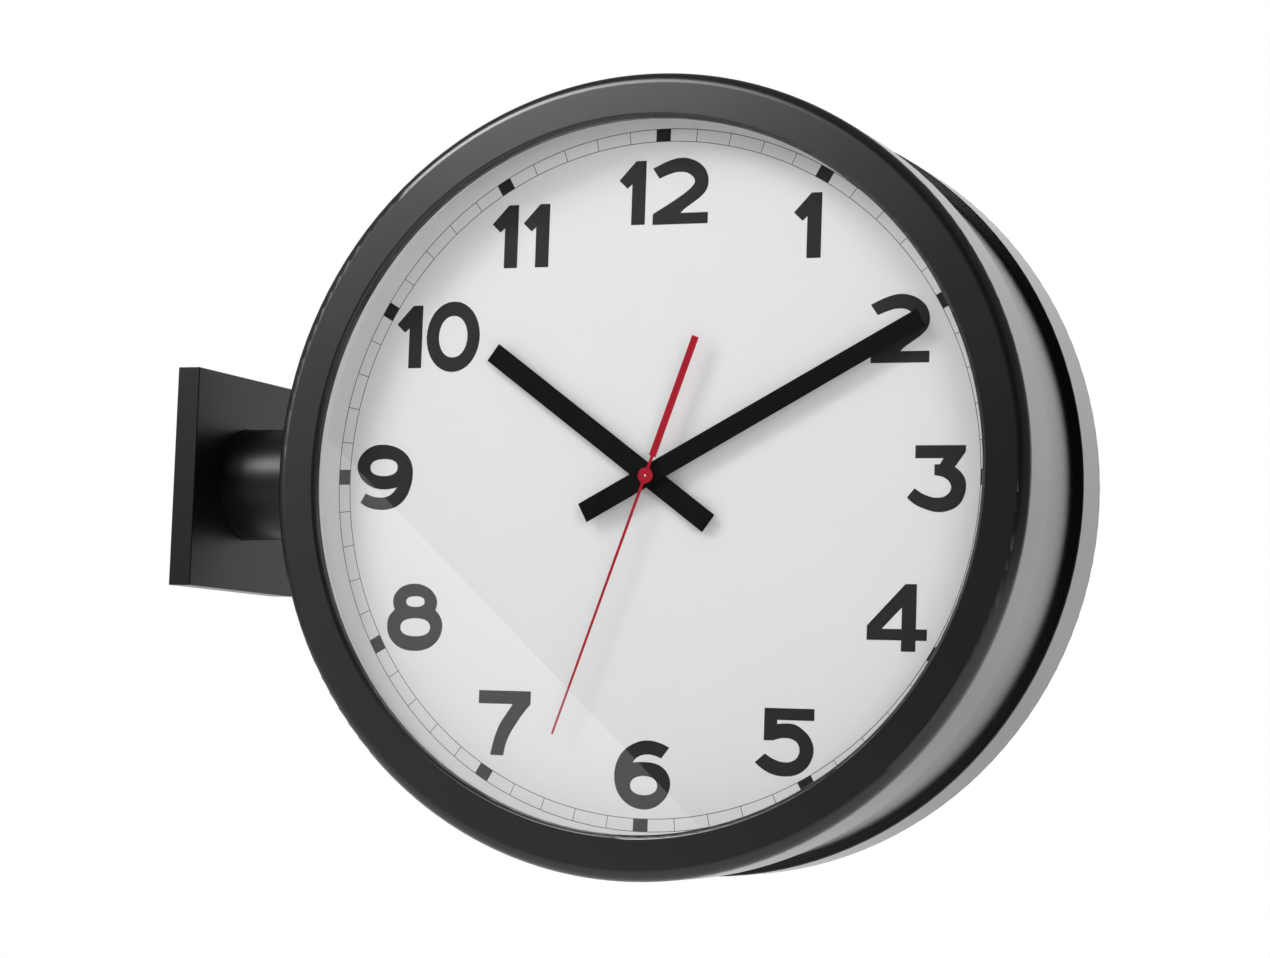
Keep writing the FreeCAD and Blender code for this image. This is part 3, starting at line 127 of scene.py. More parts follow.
def edit_all(piece):
    """Opens a piece in Edit Mode with everything selected."""
    pick(piece)
    bpy.ops.object.mode_set(mode="EDIT")
    bpy.ops.mesh.select_all(action="SELECT")


def join(pieces, name):
    """Joins several pieces to one."""
    deselect_all()
    for piece in pieces:
        piece.select_set(True)
    bpy.context.view_layer.objects.active = pieces[0]
    bpy.ops.object.join()
    joined = bpy.context.object
    joined.name = joined.data.name = name
    return joined


def hang_on_clock(piece):
    """The piece is attached to the housing's body and moves with it."""
    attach(piece, "housing")


print("dial front", round(dial_y, 4), "clock axis", round(clock_x, 4))

# %% [markdown]
# ## Effects that several finishes share
#
# Nothing in a real clock is one flat colour. Stoved paint has a very fine orange peel, moulded
# plastic has the grain of its mould, and both shine unevenly where dust and hands have been.
# Noise makes both effects. They are wanted in almost every finish, each at its own scale, so
# they are node groups with named inputs.

# %% A group for grain and a group for uneven shine
def set_inputs(node, values):
    """Sets inputs by their names, in which _ stands for a space."""
    for name, value in values.items():
        node.inputs[name.replace("_", " ")].default_value = value


def add_node(tree, kind, **values):
    """A new node with some of its inputs set."""
    node = tree.nodes.new(kind)
    set_inputs(node, values)
    return node


def add_math(tree, operation, *values):
    """A Math node; None leaves an input to a link."""
    node = tree.nodes.new("ShaderNodeMath")
    node.operation = operation
    for socket, value in zip(node.inputs, values):
        if value is not None:
            socket.default_value = value
    return node


def add_group(tree, group, **values):
    """A group as a node, with some of its inputs set."""
    node = tree.nodes.new("ShaderNodeGroup")
    node.node_tree = group
    set_inputs(node, values)
    return node


def find_node(tree, kind):
    """The first node of a kind."""
    return next(node for node in tree.nodes if node.type == kind)


def new_group(name, sockets):
    """An empty node group with these (name, direction, kind, value) sockets."""
    tree = bpy.data.node_groups.new(name, "ShaderNodeTree")
    for label, direction, kind, value in sockets:
        socket = tree.interface.new_socket(label, in_out=direction, socket_type=kind)
        if value is not None:
            socket.default_value = value
    return tree, tree.nodes.new("NodeGroupInput"), tree.nodes.new("NodeGroupOutput")


RIPPLE_SCALE = 0.12   # of the grain's scale


def grain_group():
    """Height of a fine grain with a broader ripple under it."""
    tree, source, result = new_group("grain", [
        ("Vector", "INPUT", "NodeSocketVector", None),
        ("Scale", "INPUT", "NodeSocketFloat", 900.0),
        ("Ripple", "INPUT", "NodeSocketFloat", 0.3),
        ("Height", "OUTPUT", "NodeSocketFloat", None),
    ])
    fine = add_node(tree, "ShaderNodeTexNoise", Detail=3.0, Roughness=0.6)
    broad = add_node(tree, "ShaderNodeTexNoise", Detail=1.0)
    broad_scale = add_math(tree, "MULTIPLY", None, RIPPLE_SCALE)
    mix = tree.nodes.new("ShaderNodeMix")
    link = tree.links.new
    link(source.outputs["Vector"], fine.inputs["Vector"])
    link(source.outputs["Vector"], broad.inputs["Vector"])
    link(source.outputs["Scale"], fine.inputs["Scale"])
    link(source.outputs["Scale"], broad_scale.inputs[0])
    link(broad_scale.outputs[0], broad.inputs["Scale"])
    link(source.outputs["Ripple"], mix.inputs["Factor"])
    link(fine.outputs[0], mix.inputs["A"])
    link(broad.outputs[0], mix.inputs["B"])
    link(mix.outputs["Result"], result.inputs["Height"])
    return tree


def handling_group():
    """Roughness and a colour that both drift a little over the surface."""
    tree, source, result = new_group("handling", [
        ("Vector", "INPUT", "NodeSocketVector", None),
        ("Colour", "INPUT", "NodeSocketColor", (0.5, 0.5, 0.5, 1)),
        ("Roughness", "INPUT", "NodeSocketFloat", 0.4),
        ("Roughness drift", "INPUT", "NodeSocketFloat", 0.06),
        ("Colour drift", "INPUT", "NodeSocketFloat", 0.05),
        ("Patch scale", "INPUT", "NodeSocketFloat", 18.0),
        ("Colour", "OUTPUT", "NodeSocketColor", None),
        ("Roughness", "OUTPUT", "NodeSocketFloat", None),
    ])
    patches = add_node(tree, "ShaderNodeTexNoise", Detail=4.0, Roughness=0.55, Distortion=0.4)
    centred = add_math(tree, "SUBTRACT", None, 0.5)
    rough = add_math(tree, "MULTIPLY_ADD")
    gain = add_math(tree, "MULTIPLY_ADD", None, None, 1.0)
    shade = tree.nodes.new("ShaderNodeVectorMath")
    shade.operation = "SCALE"
    link = tree.links.new
    link(source.outputs["Vector"], patches.inputs["Vector"])
    link(source.outputs["Patch scale"], patches.inputs["Scale"])
    link(patches.outputs[0], centred.inputs[0])
    link(centred.outputs[0], rough.inputs[0])
    link(source.outputs["Roughness drift"], rough.inputs[1])
    link(source.outputs["Roughness"], rough.inputs[2])
    link(rough.outputs[0], result.inputs["Roughness"])
    link(centred.outputs[0], gain.inputs[0])
    link(source.outputs["Colour drift"], gain.inputs[1])
    link(source.outputs["Colour"], shade.inputs[0])
    link(gain.outputs[0], shade.inputs["Scale"])
    link(shade.outputs[0], result.inputs["Colour"])
    return tree


GRAIN = grain_group()
HANDLING = handling_group()
print("groups", GRAIN.name, HANDLING.name)

# %% [markdown]
# ## The recipe of a finish
#
# Every opaque finish is one Principled shader with the two groups in front of it. Numbers that
# hold for the whole surface, such as metallic, sit on the shader itself. The grain
# feeds a Bump node, whose distance is the real height of the grain in metres.

# %% Make and give out finishes
def new_shader(name, **values):
    """A material, its nodes and its Principled shader, with inputs of the shader set."""
    material = bpy.data.materials.new(name)
    material.use_nodes = True
    tree = material.node_tree
    principled = tree.nodes["Principled BSDF"]
    set_inputs(principled, values)
    return material, tree, principled


def new_finish(name, colour, roughness, grain_scale, grain_height, ripple=0.3, drift=0.06,
               tint=0.05, patch=18.0, stretch=(1, 1, 1), **shader):
    """A finish with its own grain. Extra words set inputs of the Principled shader."""
    finish, tree, principled = new_shader(name, **shader)
    place = tree.nodes.new("ShaderNodeTexCoord")
    mapping = add_node(tree, "ShaderNodeMapping", Scale=stretch)
    grain = add_group(tree, GRAIN, Scale=grain_scale, Ripple=ripple)
    handling = add_group(tree, HANDLING, Colour=(*colour, 1), Roughness=roughness,
                         Roughness_drift=drift, Colour_drift=tint, Patch_scale=patch)
    bump = add_node(tree, "ShaderNodeBump", Distance=grain_height, Strength=1.0)
    link = tree.links.new
    link(place.outputs["Object"], mapping.inputs["Vector"])
    link(mapping.outputs["Vector"], grain.inputs["Vector"])
    link(place.outputs["Object"], handling.inputs["Vector"])
    link(grain.outputs["Height"], bump.inputs["Height"])
    link(handling.outputs["Colour"], principled.inputs["Base Color"])
    link(handling.outputs["Roughness"], principled.inputs["Roughness"])
    link(bump.outputs["Normal"], principled.inputs["Normal"])
    return finish


def dress(finish, *names):
    """Gives a finish to CAD nodes."""
    for name in names:
        for slot in nodes[name].material_slots:
            slot.material = finish


def both(*names):
    """The names of a piece that each side of the clock has."""
    return [f"{side}_{name}" for side in SIDES for name in names]


# %% [markdown]
# ## The black housing
#
# The rings and the drum are sheet steel under a satin black stoved paint. It is almost black
# where it faces us and turns grey where light grazes it. That comes from the shader's own
# reflection, so the colour stays plain and dark. The arm and its wall plate have a flatter coat.

# %% Satin black paint
satin_black = new_finish("satin_black", (0.0022, 0.002, 0.0022), 0.31, 1400, 6 * MICRON,
                         ripple=0.35, drift=0.05, tint=0.10, Specular_IOR_Level=0.5)
dress(satin_black, *both("bezel", "shell"), "waist_drum")
arm_black = new_finish("arm_black", (0.003, 0.0028, 0.003), 0.37, 1200, 8 * MICRON,
                       ripple=0.4, tint=0.10, Specular_IOR_Level=0.24)
dress(arm_black, "arm_tube", "wall_cover")
black_screw = new_finish("black_screw", (0.02, 0.02, 0.021), 0.42, 2600, 8 * MICRON,
                         Metallic=1.0)
dress(black_screw, "head_screws", "cover_screws")
print("housing dressed")

# %% [markdown]
# ## Glass, seal and the white ring behind them
#
# The glass is clear and flat. Lamps can't find their way through real glass in a path tracer,
# so it is mixed with a Transparent shader for shadow and diffuse rays: the light on the dial is
# then smooth, and the camera still sees a true reflection.

# %% Clear glass
def new_glass():
    """Clear glass that lets the lamps' light straight through."""
    glass, tree, principled = new_shader("clear_glass", Base_Color=(0.985, 0.995, 0.99, 1),
                                         Roughness=0.0, IOR=1.5, Transmission_Weight=1.0)
    clear = tree.nodes.new("ShaderNodeBsdfTransparent")
    path = tree.nodes.new("ShaderNodeLightPath")
    either = add_math(tree, "MAXIMUM")
    mix = tree.nodes.new("ShaderNodeMixShader")
    link = tree.links.new
    link(path.outputs["Is Shadow Ray"], either.inputs[0])
    link(path.outputs["Is Diffuse Ray"], either.inputs[1])
    link(either.outputs[0], mix.inputs["Fac"])
    link(principled.outputs[0], mix.inputs[1])
    link(clear.outputs[0], mix.inputs[2])
    link(mix.outputs[0], tree.nodes["Material Output"].inputs["Surface"])
    return glass


dress(new_glass(), *both("lens"))
seal_rubber = new_finish("seal_rubber", (0.016, 0.016, 0.016), 0.62, 1500, 20 * MICRON)
dress(seal_rubber, *both("lens_gasket"))
white_moulding = new_finish("white_moulding", (0.80, 0.80, 0.80), 0.45, 1800, 8 * MICRON,
                            tint=0.02)
dress(white_moulding, *both("reveal_ring"))
print("glass and rings dressed")

# %% [markdown]
# ## The dial and the hands
#
# The dial is sheet aluminium under flat white paint, and the hands are sheet metal too, two of
# them matt black and the second hand red. Flat paint has a very fine tooth, finer than the
# grain of the housing.

# %% Flat paints
dial_white = new_finish("dial_white", (0.80, 0.80, 0.805), 0.55, 3200, 4 * MICRON, tint=0.012,
                        drift=0.05)
dress(dial_white, *both("dial"))
matt_black = new_finish("matt_black", (0.0045, 0.0045, 0.005), 0.55, 3000, 6 * MICRON,
                        Specular_IOR_Level=0.02)
dress(matt_black, *both("hour_hand", "minute_hand"))
signal_red = new_finish("signal_red", (0.40, 0.007, 0.022), 0.5, 3000, 5 * MICRON, tint=0.04,
                        Specular_IOR_Level=0.06)
dress(signal_red, *both("second_hand"))
print("dials and hands dressed")

# %% [markdown]
# ## Screws with sockets
#
# The small screws in the rings, the drum and the wall cover are plain round bars in the solid
# model. Real ones have a hexagon socket, and the four in the drum a rounded head. One screw of
# each kind is made from a cylinder: its shank is extruded out of the underside, its edges are
# bevelled, and a Boolean modifier cuts the socket with a six-sided bar. It is then copied to
# its places.

# %% Make one screw
def select_faces_looking(piece, direction, height):
    """Selects the faces that look along a direction at a height."""
    for face in piece.data.polygons:
        level = abs(face.center.z - height) < 0.01 * MM
        face.select = level and face.normal.z * direction > 0.9


def socket_screw(head_radius, head_height, socket_radius, socket_depth, edge,
                 shank_radius=0, shank_length=0):
    """A screw that hangs down from the origin, its head's top at z = 0."""
    deselect_all()
    bpy.ops.mesh.primitive_cylinder_add(vertices=40, radius=head_radius, depth=head_height,
                                        location=(0, 0, -head_height / 2))
    screw = bpy.context.object
    settle(screw)
    if shank_length:
        bpy.ops.object.mode_set(mode="EDIT")
        bpy.ops.mesh.select_all(action="DESELECT")
        bpy.ops.mesh.select_mode(type="FACE")
        bpy.ops.object.mode_set(mode="OBJECT")
        select_faces_looking(screw, -1, -head_height)
        bpy.ops.object.mode_set(mode="EDIT")
        bpy.ops.mesh.inset(thickness=head_radius - shank_radius)
        bpy.ops.mesh.extrude_region_move(
            TRANSFORM_OT_translate={"value": (0, 0, -shank_length)})
        bpy.ops.object.mode_set(mode="OBJECT")
    bpy.ops.mesh.primitive_cylinder_add(vertices=6, radius=socket_radius, depth=2 * socket_depth)
    key = bpy.context.object
    pick(screw)
    bevel = screw.modifiers.new("edge", "BEVEL")
    bevel.width = edge
    bevel.segments = 3
    bevel.limit_method = "ANGLE"
    bpy.ops.object.modifier_apply(modifier=bevel.name)
    socket = screw.modifiers.new("socket", "BOOLEAN")
    socket.operation = "DIFFERENCE"
    socket.solver = "EXACT"
    socket.object = key
    bpy.ops.object.modifier_apply(modifier=socket.name)
    bpy.data.objects.remove(key)
    bpy.ops.object.shade_smooth_by_angle(angle=math.radians(35))
    return screw


drum_screw = socket_screw(
    head_radius=3.6 * MM, head_height=1.8 * MM, socket_radius=1.45 * MM, socket_depth=1.1 * MM,
    edge=0.35 * MM, shank_radius=1.95 * MM, shank_length=9.3 * MM)
ring_grub = socket_screw(
    head_radius=1.45 * MM, head_height=3.8 * MM, socket_radius=0.87 * MM, socket_depth=1.2 * MM,
    edge=0.1 * MM)
cover_grub = socket_screw(
    head_radius=1.95 * MM, head_height=4.6 * MM, socket_radius=1.15 * MM, socket_depth=1.6 * MM,
    edge=0.12 * MM)
print("screws", [len(kind.data.polygons) for kind in (drum_screw, ring_grub, cover_grub)])


# %% Put the screws in their places
def set_screws(kind, x, places, level):
    """Copies of a screw at (y, sign) places, its outer end at a level above or below."""
    copies = []
    for y, sign in places:
        screw = copy_of(kind, "screw")
        screw.rotation_euler = (0 if sign > 0 else math.radians(180), 0, 0)
        screw.location = (x, y, level * sign)
        settle(screw)
        copies.append(screw)
    bpy.data.objects.remove(kind)
    return copies


def finish_screws(screws, name, replaced):
    """Joins the screws to one piece that stands for a node of the model."""
    piece = join(screws, name)
    piece.data.materials.clear()
    piece.data.materials.append(black_screw)
    hang_on_clock(piece)
    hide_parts(replaced)
    return piece


# How far above and below the middle the outer ends are, and where the screws are along Y or X.
DRUM_SCREW_TOP, DRUM_SCREW_Y = 187.3 * MM, 23.5 * MM
RING_GRUB_TOP, RING_GRUB_Y = 189.8 * MM, 36.1 * MM
COVER_GRUB_TOP, COVER_GRUB_X = 55 * MM, 6 * MM
CORNERS = [(1, 1), (1, -1), (-1, 1), (-1, -1)]

screws = []
for kind, y, top in ((drum_screw, DRUM_SCREW_Y, DRUM_SCREW_TOP),
                     (ring_grub, RING_GRUB_Y, RING_GRUB_TOP)):
    screws += set_screws(kind, clock_x, [(side * y, up) for side, up in CORNERS], top)
ring_screws = finish_screws(screws, "socket_screws", "head_screws")
cover_pair = finish_screws(
    set_screws(cover_grub, COVER_GRUB_X, [(0, 1), (0, -1)], COVER_GRUB_TOP),
    "cover_grub_screws", "cover_screws")
print("socket screws", len(ring_screws.data.polygons), "and", len(cover_pair.data.polygons))

# %% [markdown]
# ## Inside the case
#
# The movement is hidden here, but someone may take the clock apart. Moulded parts have a mould
# grain, turned brass and plated steel have fine streaks, which are the same grain stretched
# along one axis, and the coil shows its turns of wire.

# %% Plastics and metals of the movement
moulded_black = new_finish("moulded_black", (0.02, 0.02, 0.022), 0.5, 1600, 20 * MICRON)
dress(moulded_black, *both("dial_carrier", "movement_case", "movement_cover"))
moulded_natural = new_finish("moulded_natural", (0.78, 0.77, 0.71), 0.38, 2400, 10 * MICRON,
                             tint=0.06, patch=60.0, Subsurface_Weight=0.1,
                             Subsurface_Scale=0.001)
dress(moulded_natural, *both("hour_wheel", "centre_wheel", "second_wheel", "third_wheel",
                             "fifth_wheel", "reverse_wheel", "setting_knob"))
turned_brass = new_finish("turned_brass", (0.72, 0.50, 0.20), 0.26, 1500, 12 * MICRON,
                          stretch=(1, 8, 1), tint=0.12, patch=80.0, Metallic=1.0)
dress(turned_brass, *both("bush_nut", "cannon_pinion"))
plated_steel = new_finish("plated_steel", (0.60, 0.61, 0.63), 0.33, 1100, 12 * MICRON,
                          stretch=(1, 1, 9), tint=0.14, drift=0.16, patch=40.0, Metallic=1.0)
dress(plated_steel, "arm_saddle", "arm_screws", "wall_base_plate",
      *both("stator", "battery_contacts"))
magnet_dark = new_finish("magnet_dark", (0.06, 0.06, 0.065), 0.5, 2000, 20 * MICRON, Metallic=1.0)
dress(magnet_dark, *both("rotor"))
print("movement dressed")


# %% Wire turns of the coil and the jacket of the cell
def band_finish(name, first, second, edges, roughness, **shader):
    """A finish whose colour changes at edges along X, measured from the clock's axis."""
    finish = new_finish(name, first, roughness, 1800, 6 * MICRON, **shader)
    tree = finish.node_tree
    link = tree.links.new
    place = find_node(tree, "TEX_COORD")
    handling = next(node for node in tree.nodes
                    if node.type == "GROUP" and node.node_tree == HANDLING)
    split = tree.nodes.new("ShaderNodeSeparateXYZ")
    away = add_math(tree, "SUBTRACT", None, clock_x)
    size = add_math(tree, "ABSOLUTE")
    ramp = add_node(tree, "ShaderNodeMapRange", From_Min=edges[0], From_Max=edges[1])
    mix = tree.nodes.new("ShaderNodeMix")
    mix.data_type = "RGBA"
    mix.inputs["A"].default_value = (*first, 1)
    mix.inputs["B"].default_value = (*second, 1)
    link(place.outputs["Object"], split.inputs[0])
    link(split.outputs["X"], away.inputs[0])
    link(away.outputs[0], size.inputs[0])
    link(size.outputs[0], ramp.inputs["Value"])
    link(ramp.outputs["Result"], mix.inputs["Factor"])
    link(mix.outputs["Result"], handling.inputs["Colour"])
    return finish


def add_wire_turns(finish, pitch):
    """Replaces the grain by rounded ridges round the X axis, each with a valley as wide."""
    tree = finish.node_tree
    bump = find_node(tree, "BUMP")
    wave = add_node(tree, "ShaderNodeTexWave", Scale=math.pi / (20 * pitch), Distortion=0.4)
    wave.bands_direction = "X"
    place = find_node(tree, "TEX_COORD")
    tree.links.new(place.outputs["Object"], wave.inputs["Vector"])
    tree.links.new(wave.outputs["Fac"], bump.inputs["Height"])
    bump.inputs["Distance"].default_value = pitch / 4


# Beyond these edges the coil shows its core strip, and the cell its bare end.
COIL_EDGE = (11.9 * MM, 12.1 * MM)
JACKET_EDGE = (23.2 * MM, 23.4 * MM)
WIRE_PITCH = 0.3 * MM
winding = band_finish("winding", (0.50, 0.17, 0.05), (0.42, 0.43, 0.45), COIL_EDGE, 0.34,
                      Metallic=1.0)
add_wire_turns(winding, WIRE_PITCH)
dress(winding, *both("coil"))
cell_jacket = band_finish("cell_jacket", (0.018, 0.02, 0.024), (0.62, 0.62, 0.63), JACKET_EDGE,
                          0.3, Metallic=0.6)
dress(cell_jacket, *both("battery"))
print("coil and cells dressed")

# %% [markdown]
# ## The minute track
#
# The dial's print starts with the minute track: two thin circles, a line for each minute and a
# black block for each hour. One line and one block are enough: the Spin operator, set to
# duplicate, copies them round the dial. The ink is a very thin solid that lies on the paint, and
# it is half as thick again in the blocks.

# %% Print the minute track
TRACK_IN, TRACK_OUT = 161.2 * MM, 167.2 * MM
LINE_WIDTH = 0.32 * MM
BLOCK_WIDTH = 7.4 * MM
BLOCK_INK = 1.5 * INK
RING_POINTS = 240
print_black = new_finish("print_black", (0.026, 0.026, 0.027), 0.5, 3000, 3 * MICRON, tint=0.03,
                         Specular_IOR_Level=0.05)
print_grey = new_finish("print_grey", (0.05, 0.05, 0.052), 0.5, 3000, 3 * MICRON, tint=0.03)


def thicken(piece, height):
    """Turns a flat print into a thin closed solid that rises from its drawing plane."""
    edit_all(piece)
    bpy.ops.mesh.extrude_region_move(TRANSFORM_OT_translate={"value": (0, 0, height)})
    bpy.ops.mesh.select_all(action="SELECT")
    bpy.ops.mesh.normals_make_consistent(inside=False)
    bpy.ops.mesh.select_all(action="DESELECT")
    bpy.ops.object.mode_set(mode="OBJECT")


def thin_ring(radius, width):
    """A flat ring: a disc whose middle is inset and taken away."""
    deselect_all()
    bpy.ops.mesh.primitive_circle_add(vertices=RING_POINTS, radius=radius + width / 2,
                                      fill_type="NGON")
    ring = bpy.context.object
    edit_all(ring)
    bpy.ops.mesh.inset(thickness=width)
    bpy.ops.mesh.delete(type="FACE")
    bpy.ops.object.mode_set(mode="OBJECT")
    return ring


def flat_bar(width, inner, outer):
    """A flat bar above the middle of the dial, along its radius."""
    deselect_all()
    bpy.ops.mesh.primitive_plane_add(size=1, location=(0, (inner + outer) / 2, 0))
    bar = bpy.context.object
    bar.scale = (width, outer - inner, 1)
    settle(bar)
    return bar


def spread_round(piece, count):
    """Copies the piece's faces evenly round the middle of the dial."""
    edit_all(piece)
    turn = 2 * math.pi * (count - 1) / count
    bpy.ops.mesh.spin(steps=count - 1, dupli=True, angle=turn, center=(0, 0, 0), axis=(0, 0, 1))
    bpy.ops.object.mode_set(mode="OBJECT")


minute_lines = flat_bar(LINE_WIDTH, TRACK_IN, TRACK_OUT)
spread_round(minute_lines, 60)
track = join([thin_ring(TRACK_IN, LINE_WIDTH), thin_ring(TRACK_OUT, LINE_WIDTH), minute_lines],
             "front_minute_track")
thicken(track, INK)
track.data.materials.append(print_grey)
blocks = flat_bar(BLOCK_WIDTH, TRACK_IN, TRACK_OUT)
blocks.name = blocks.data.name = "front_hour_blocks"
spread_round(blocks, 12)
thicken(blocks, BLOCK_INK)
blocks.data.materials.append(print_black)
print("track", len(track.data.polygons), "faces; blocks", len(blocks.data.polygons), "faces")

# %% [markdown]
# ## The numerals
#
# The numerals are upright and bold, drawn with a broad pen. A text object would bring the
# letterforms of its font, so each figure is drawn here as a flat curve through a few points of
# its outline, in millimetres from its lower left. At a corner the curve's handles point at the
# neighbours, and elsewhere they are automatic, which gives the smooth round of a drawn figure.

# %% Draw the figures
CORNER, ROUND = "VECTOR", "AUTO"
STEPS_PER_POINT = 8


def outline(text):
    """Reads 'x,y' for a corner and 'x~y' for a point on a round."""
    points = []
    for word in text.split():
        kind = ROUND if "~" in word else CORNER
        x, y = word.replace("~", ",").split(",")
        points.append((float(x), float(y), kind))
    return points


def oval(x, y, half_width, half_height):
    """A closed oval, run the other way round to leave a hole."""
    return [(x + half_width * dx, y + half_height * dy, ROUND)
            for dx, dy in ((1, 0), (0, -1), (-1, 0), (0, 1))]


FIGURES = {
    "0": [oval(14.45, 17.4, 14.45, 17.4), oval(14.45, 17.45, 7.75, 10.25)],
    "1": [outline("0,0 7.1,0 7.1,31 1.8,31 -6.8,21.8 -2.4,17.7 0,19.8")],
    "2": [outline("0,0 28.3,0 28.3,5.4 14.3,5.4 16.1~7.1 20.4~10.1 24.6~13.1 27.1~16.1"
                  " 28.1~19.7 27~24.9 24.3~28.3 19.3~31.1 13.3~32 7.3~30.7 -0.6,27.3"
                  " 2.9,22.3 7.3~24 12.8~25.2 18.3~24 21.1~20.5 19.8~18 17.3~15.8"
                  " 14.3~13.7 0,5.2")],
    "3": [outline("0,30.7 0,24.7 13.5,24.7 11.8,21.9 9.3,21.9 9.3,16.9 12.7~16.3 14.9~15.3"
                  " 16.8~13.3 17.4~10.8 15.2~7.7 10.9~6.6 5.2~7.9 0,10.9 -3.5,6.6 0.2~3.6"
                  " 5.2~1.4 11.5~0 17.7~1.1 21.5~3.6 23.8~7.7 24.5~12.1 23.7~15.8"
                  " 21.5~18.8 19,20.7 24,27.7 24,30.7")],
    "4": [outline("0,5.1 16.6,5.1 16.6,0 23.5,0 23.5,5.1 28.8,5.1 28.8,10.3 23.5,10.3"
                  " 23.5,30.9 18,30.9 0,11.7"),
          outline("7.2,10.3 16.6,20.2 16.6,10.3")],
    "5": [outline("0,31.2 0,16.2 4.8,16.2 7~17 10.45~17.5 14.2~16.85 16.7~15 17.7~12.2"
                  " 17~9.35 14.8~7.2 10.45~6.35 4.8~7.8 0.8,10.1 -4.1,5.9 -0.2~2.9"
                  " 4.8~0.6 10.45~-0.2 16.1~0.6 20.45~3.1 23.6~7.5 24.6~12.5 22.95~17.5"
                  " 19.2~21.5 14.8~23.9 9.8~24.2 6.4,23.85 6.4,25.7 24.5,25.7 24.5,31.2")],
    "6": [outline("27.5,29.3 23.2~31.1 16.35~32.3 10.1~30.95 4.5~27.3 1.35~22.6 0~16.7"
                  " 0.6~10.8 2.9~6.1 7~2.3 13.85~0 20.1~0.8 25.1~4.2 27.6~7.95 28.5~12.3"
                  " 27.6~16.1 24.5~19.8 20.1~21.7 15.7~22.1 9.2,21.8 11.35~24.2"
                  " 16.35~25.7 20.7~25.1 23.5,24"),
          oval(15.1, 11.1, 6.9, 4.5)],
    "7": [outline("0,30.9 0,24.6 18,24.6 14.55~19.5 11.75~15.3 9.55~10 8~4.65 7.05,0"
                  " 13.95,0 15.05~5.3 16.75~9.65 20.15~15.3 23.65~20.3 27.35,24.65"
                  " 27.35,30.9")],
    "8": [outline("14.5~32.7 7.9~31.4 4.8~29.1 3~26 2.9~22.5 3.8,20.15 0.7~16.3 0~11.9"
                  " 1~7.5 3.8~3.8 8.5~1 15.4~0 21.65~1 26~3.5 28.8~7.2 29.9~11.3"
                  " 29.65~14.4 28.2~17.5 25.9,20 26.65~22.8 26.5~25 24.5~28.5 20.4~31.4"),
          oval(14.9, 24, 5, 2.6), oval(15.3, 11.5, 8.1, 4.4)],
    "9": [outline("2.4,3.5 6.15~1.4 13~0 18~0.3 23~2 27.4~6.2 29.6~11.1 30.65~17.35"
                  " 29.8~22.7 27.4~26.7 23~30 18~31.7 13.3~32.2 8~31.4 3.65~28.9 0.8~25.2"
                  " 0~21.4 1.15~17.35 3.65~14.2 8~11.4 13~10.2 17.4~10.2 22.15,11"
                  " 20.2~8.6 17.4~6.7 13~6.1 8.65~6.7 5.2,8.1"),
          oval(14.7, 20.9, 7.5, 4.2)],
}

# Where the lower left of each figure stands, in millimetres from the middle of the dial.
PLACES = [
    ("1", 74.1, 102.7), ("2", 107.1, 52.7), ("3", 129.9, -16.2), ("4", 108.9, -80.1),
    ("5", 60.3, -138.6), ("6", -14.1, -156.7), ("7", -86.25, -133.9), ("8", -137.4, -84.9),
    ("9", -157.4, -16.1), ("1", -131.75, 53.8), ("0", -122.2, 51.6), ("1", -81.9, 102.1),
    ("1", -65.25, 102.1), ("1", -15.4, 121.2), ("2", -4.3, 120.9),
]


def draw_numerals():
    """All figures of one dial as a single flat curve, made into a thin mesh."""
    drawing = bpy.data.curves.new("front_numerals", "CURVE")
    drawing.dimensions = "2D"
    drawing.fill_mode = "BOTH"
    drawing.resolution_u = STEPS_PER_POINT
    drawing.extrude = INK / 2
    for figure, left, base in PLACES:
        for contour in FIGURES[figure]:
            spline = drawing.splines.new("BEZIER")
            spline.bezier_points.add(len(contour) - 1)
            spline.use_cyclic_u = True
            for point, (x, y, kind) in zip(spline.bezier_points, contour):
                point.co = ((left + x) * MM, (base + y) * MM, 0)
                point.handle_left_type = point.handle_right_type = kind
    numerals = bpy.data.objects.new("front_numerals", drawing)
    bpy.context.collection.objects.link(numerals)
    pick(numerals)
    bpy.ops.object.convert(target="MESH")
    numerals = bpy.context.object
    numerals.location.z = INK / 2
    settle(numerals)
    return numerals


numerals = draw_numerals()
numerals.data.materials.clear()
numerals.data.materials.append(print_black)
for drawing in (track, blocks, numerals):
    rear = copy_of(drawing, drawing.name.replace("front", "rear"))
    stand_on_dial(drawing, "front")
    stand_on_dial(rear, "rear")
    hang_on_clock(drawing)
    hang_on_clock(rear)
print("numerals", len(numerals.data.polygons), "faces")

# %% [markdown]
# ## The studio
#
# A pale floor lies well under the clock. The background's white is for the camera alone,
# through the Light Path node, so that it adds no light. The floor paint glows a little for the
# camera too, which makes the lit floor white and keeps the clock's shadow on it, and for shiny
# surfaces, which mirror it.

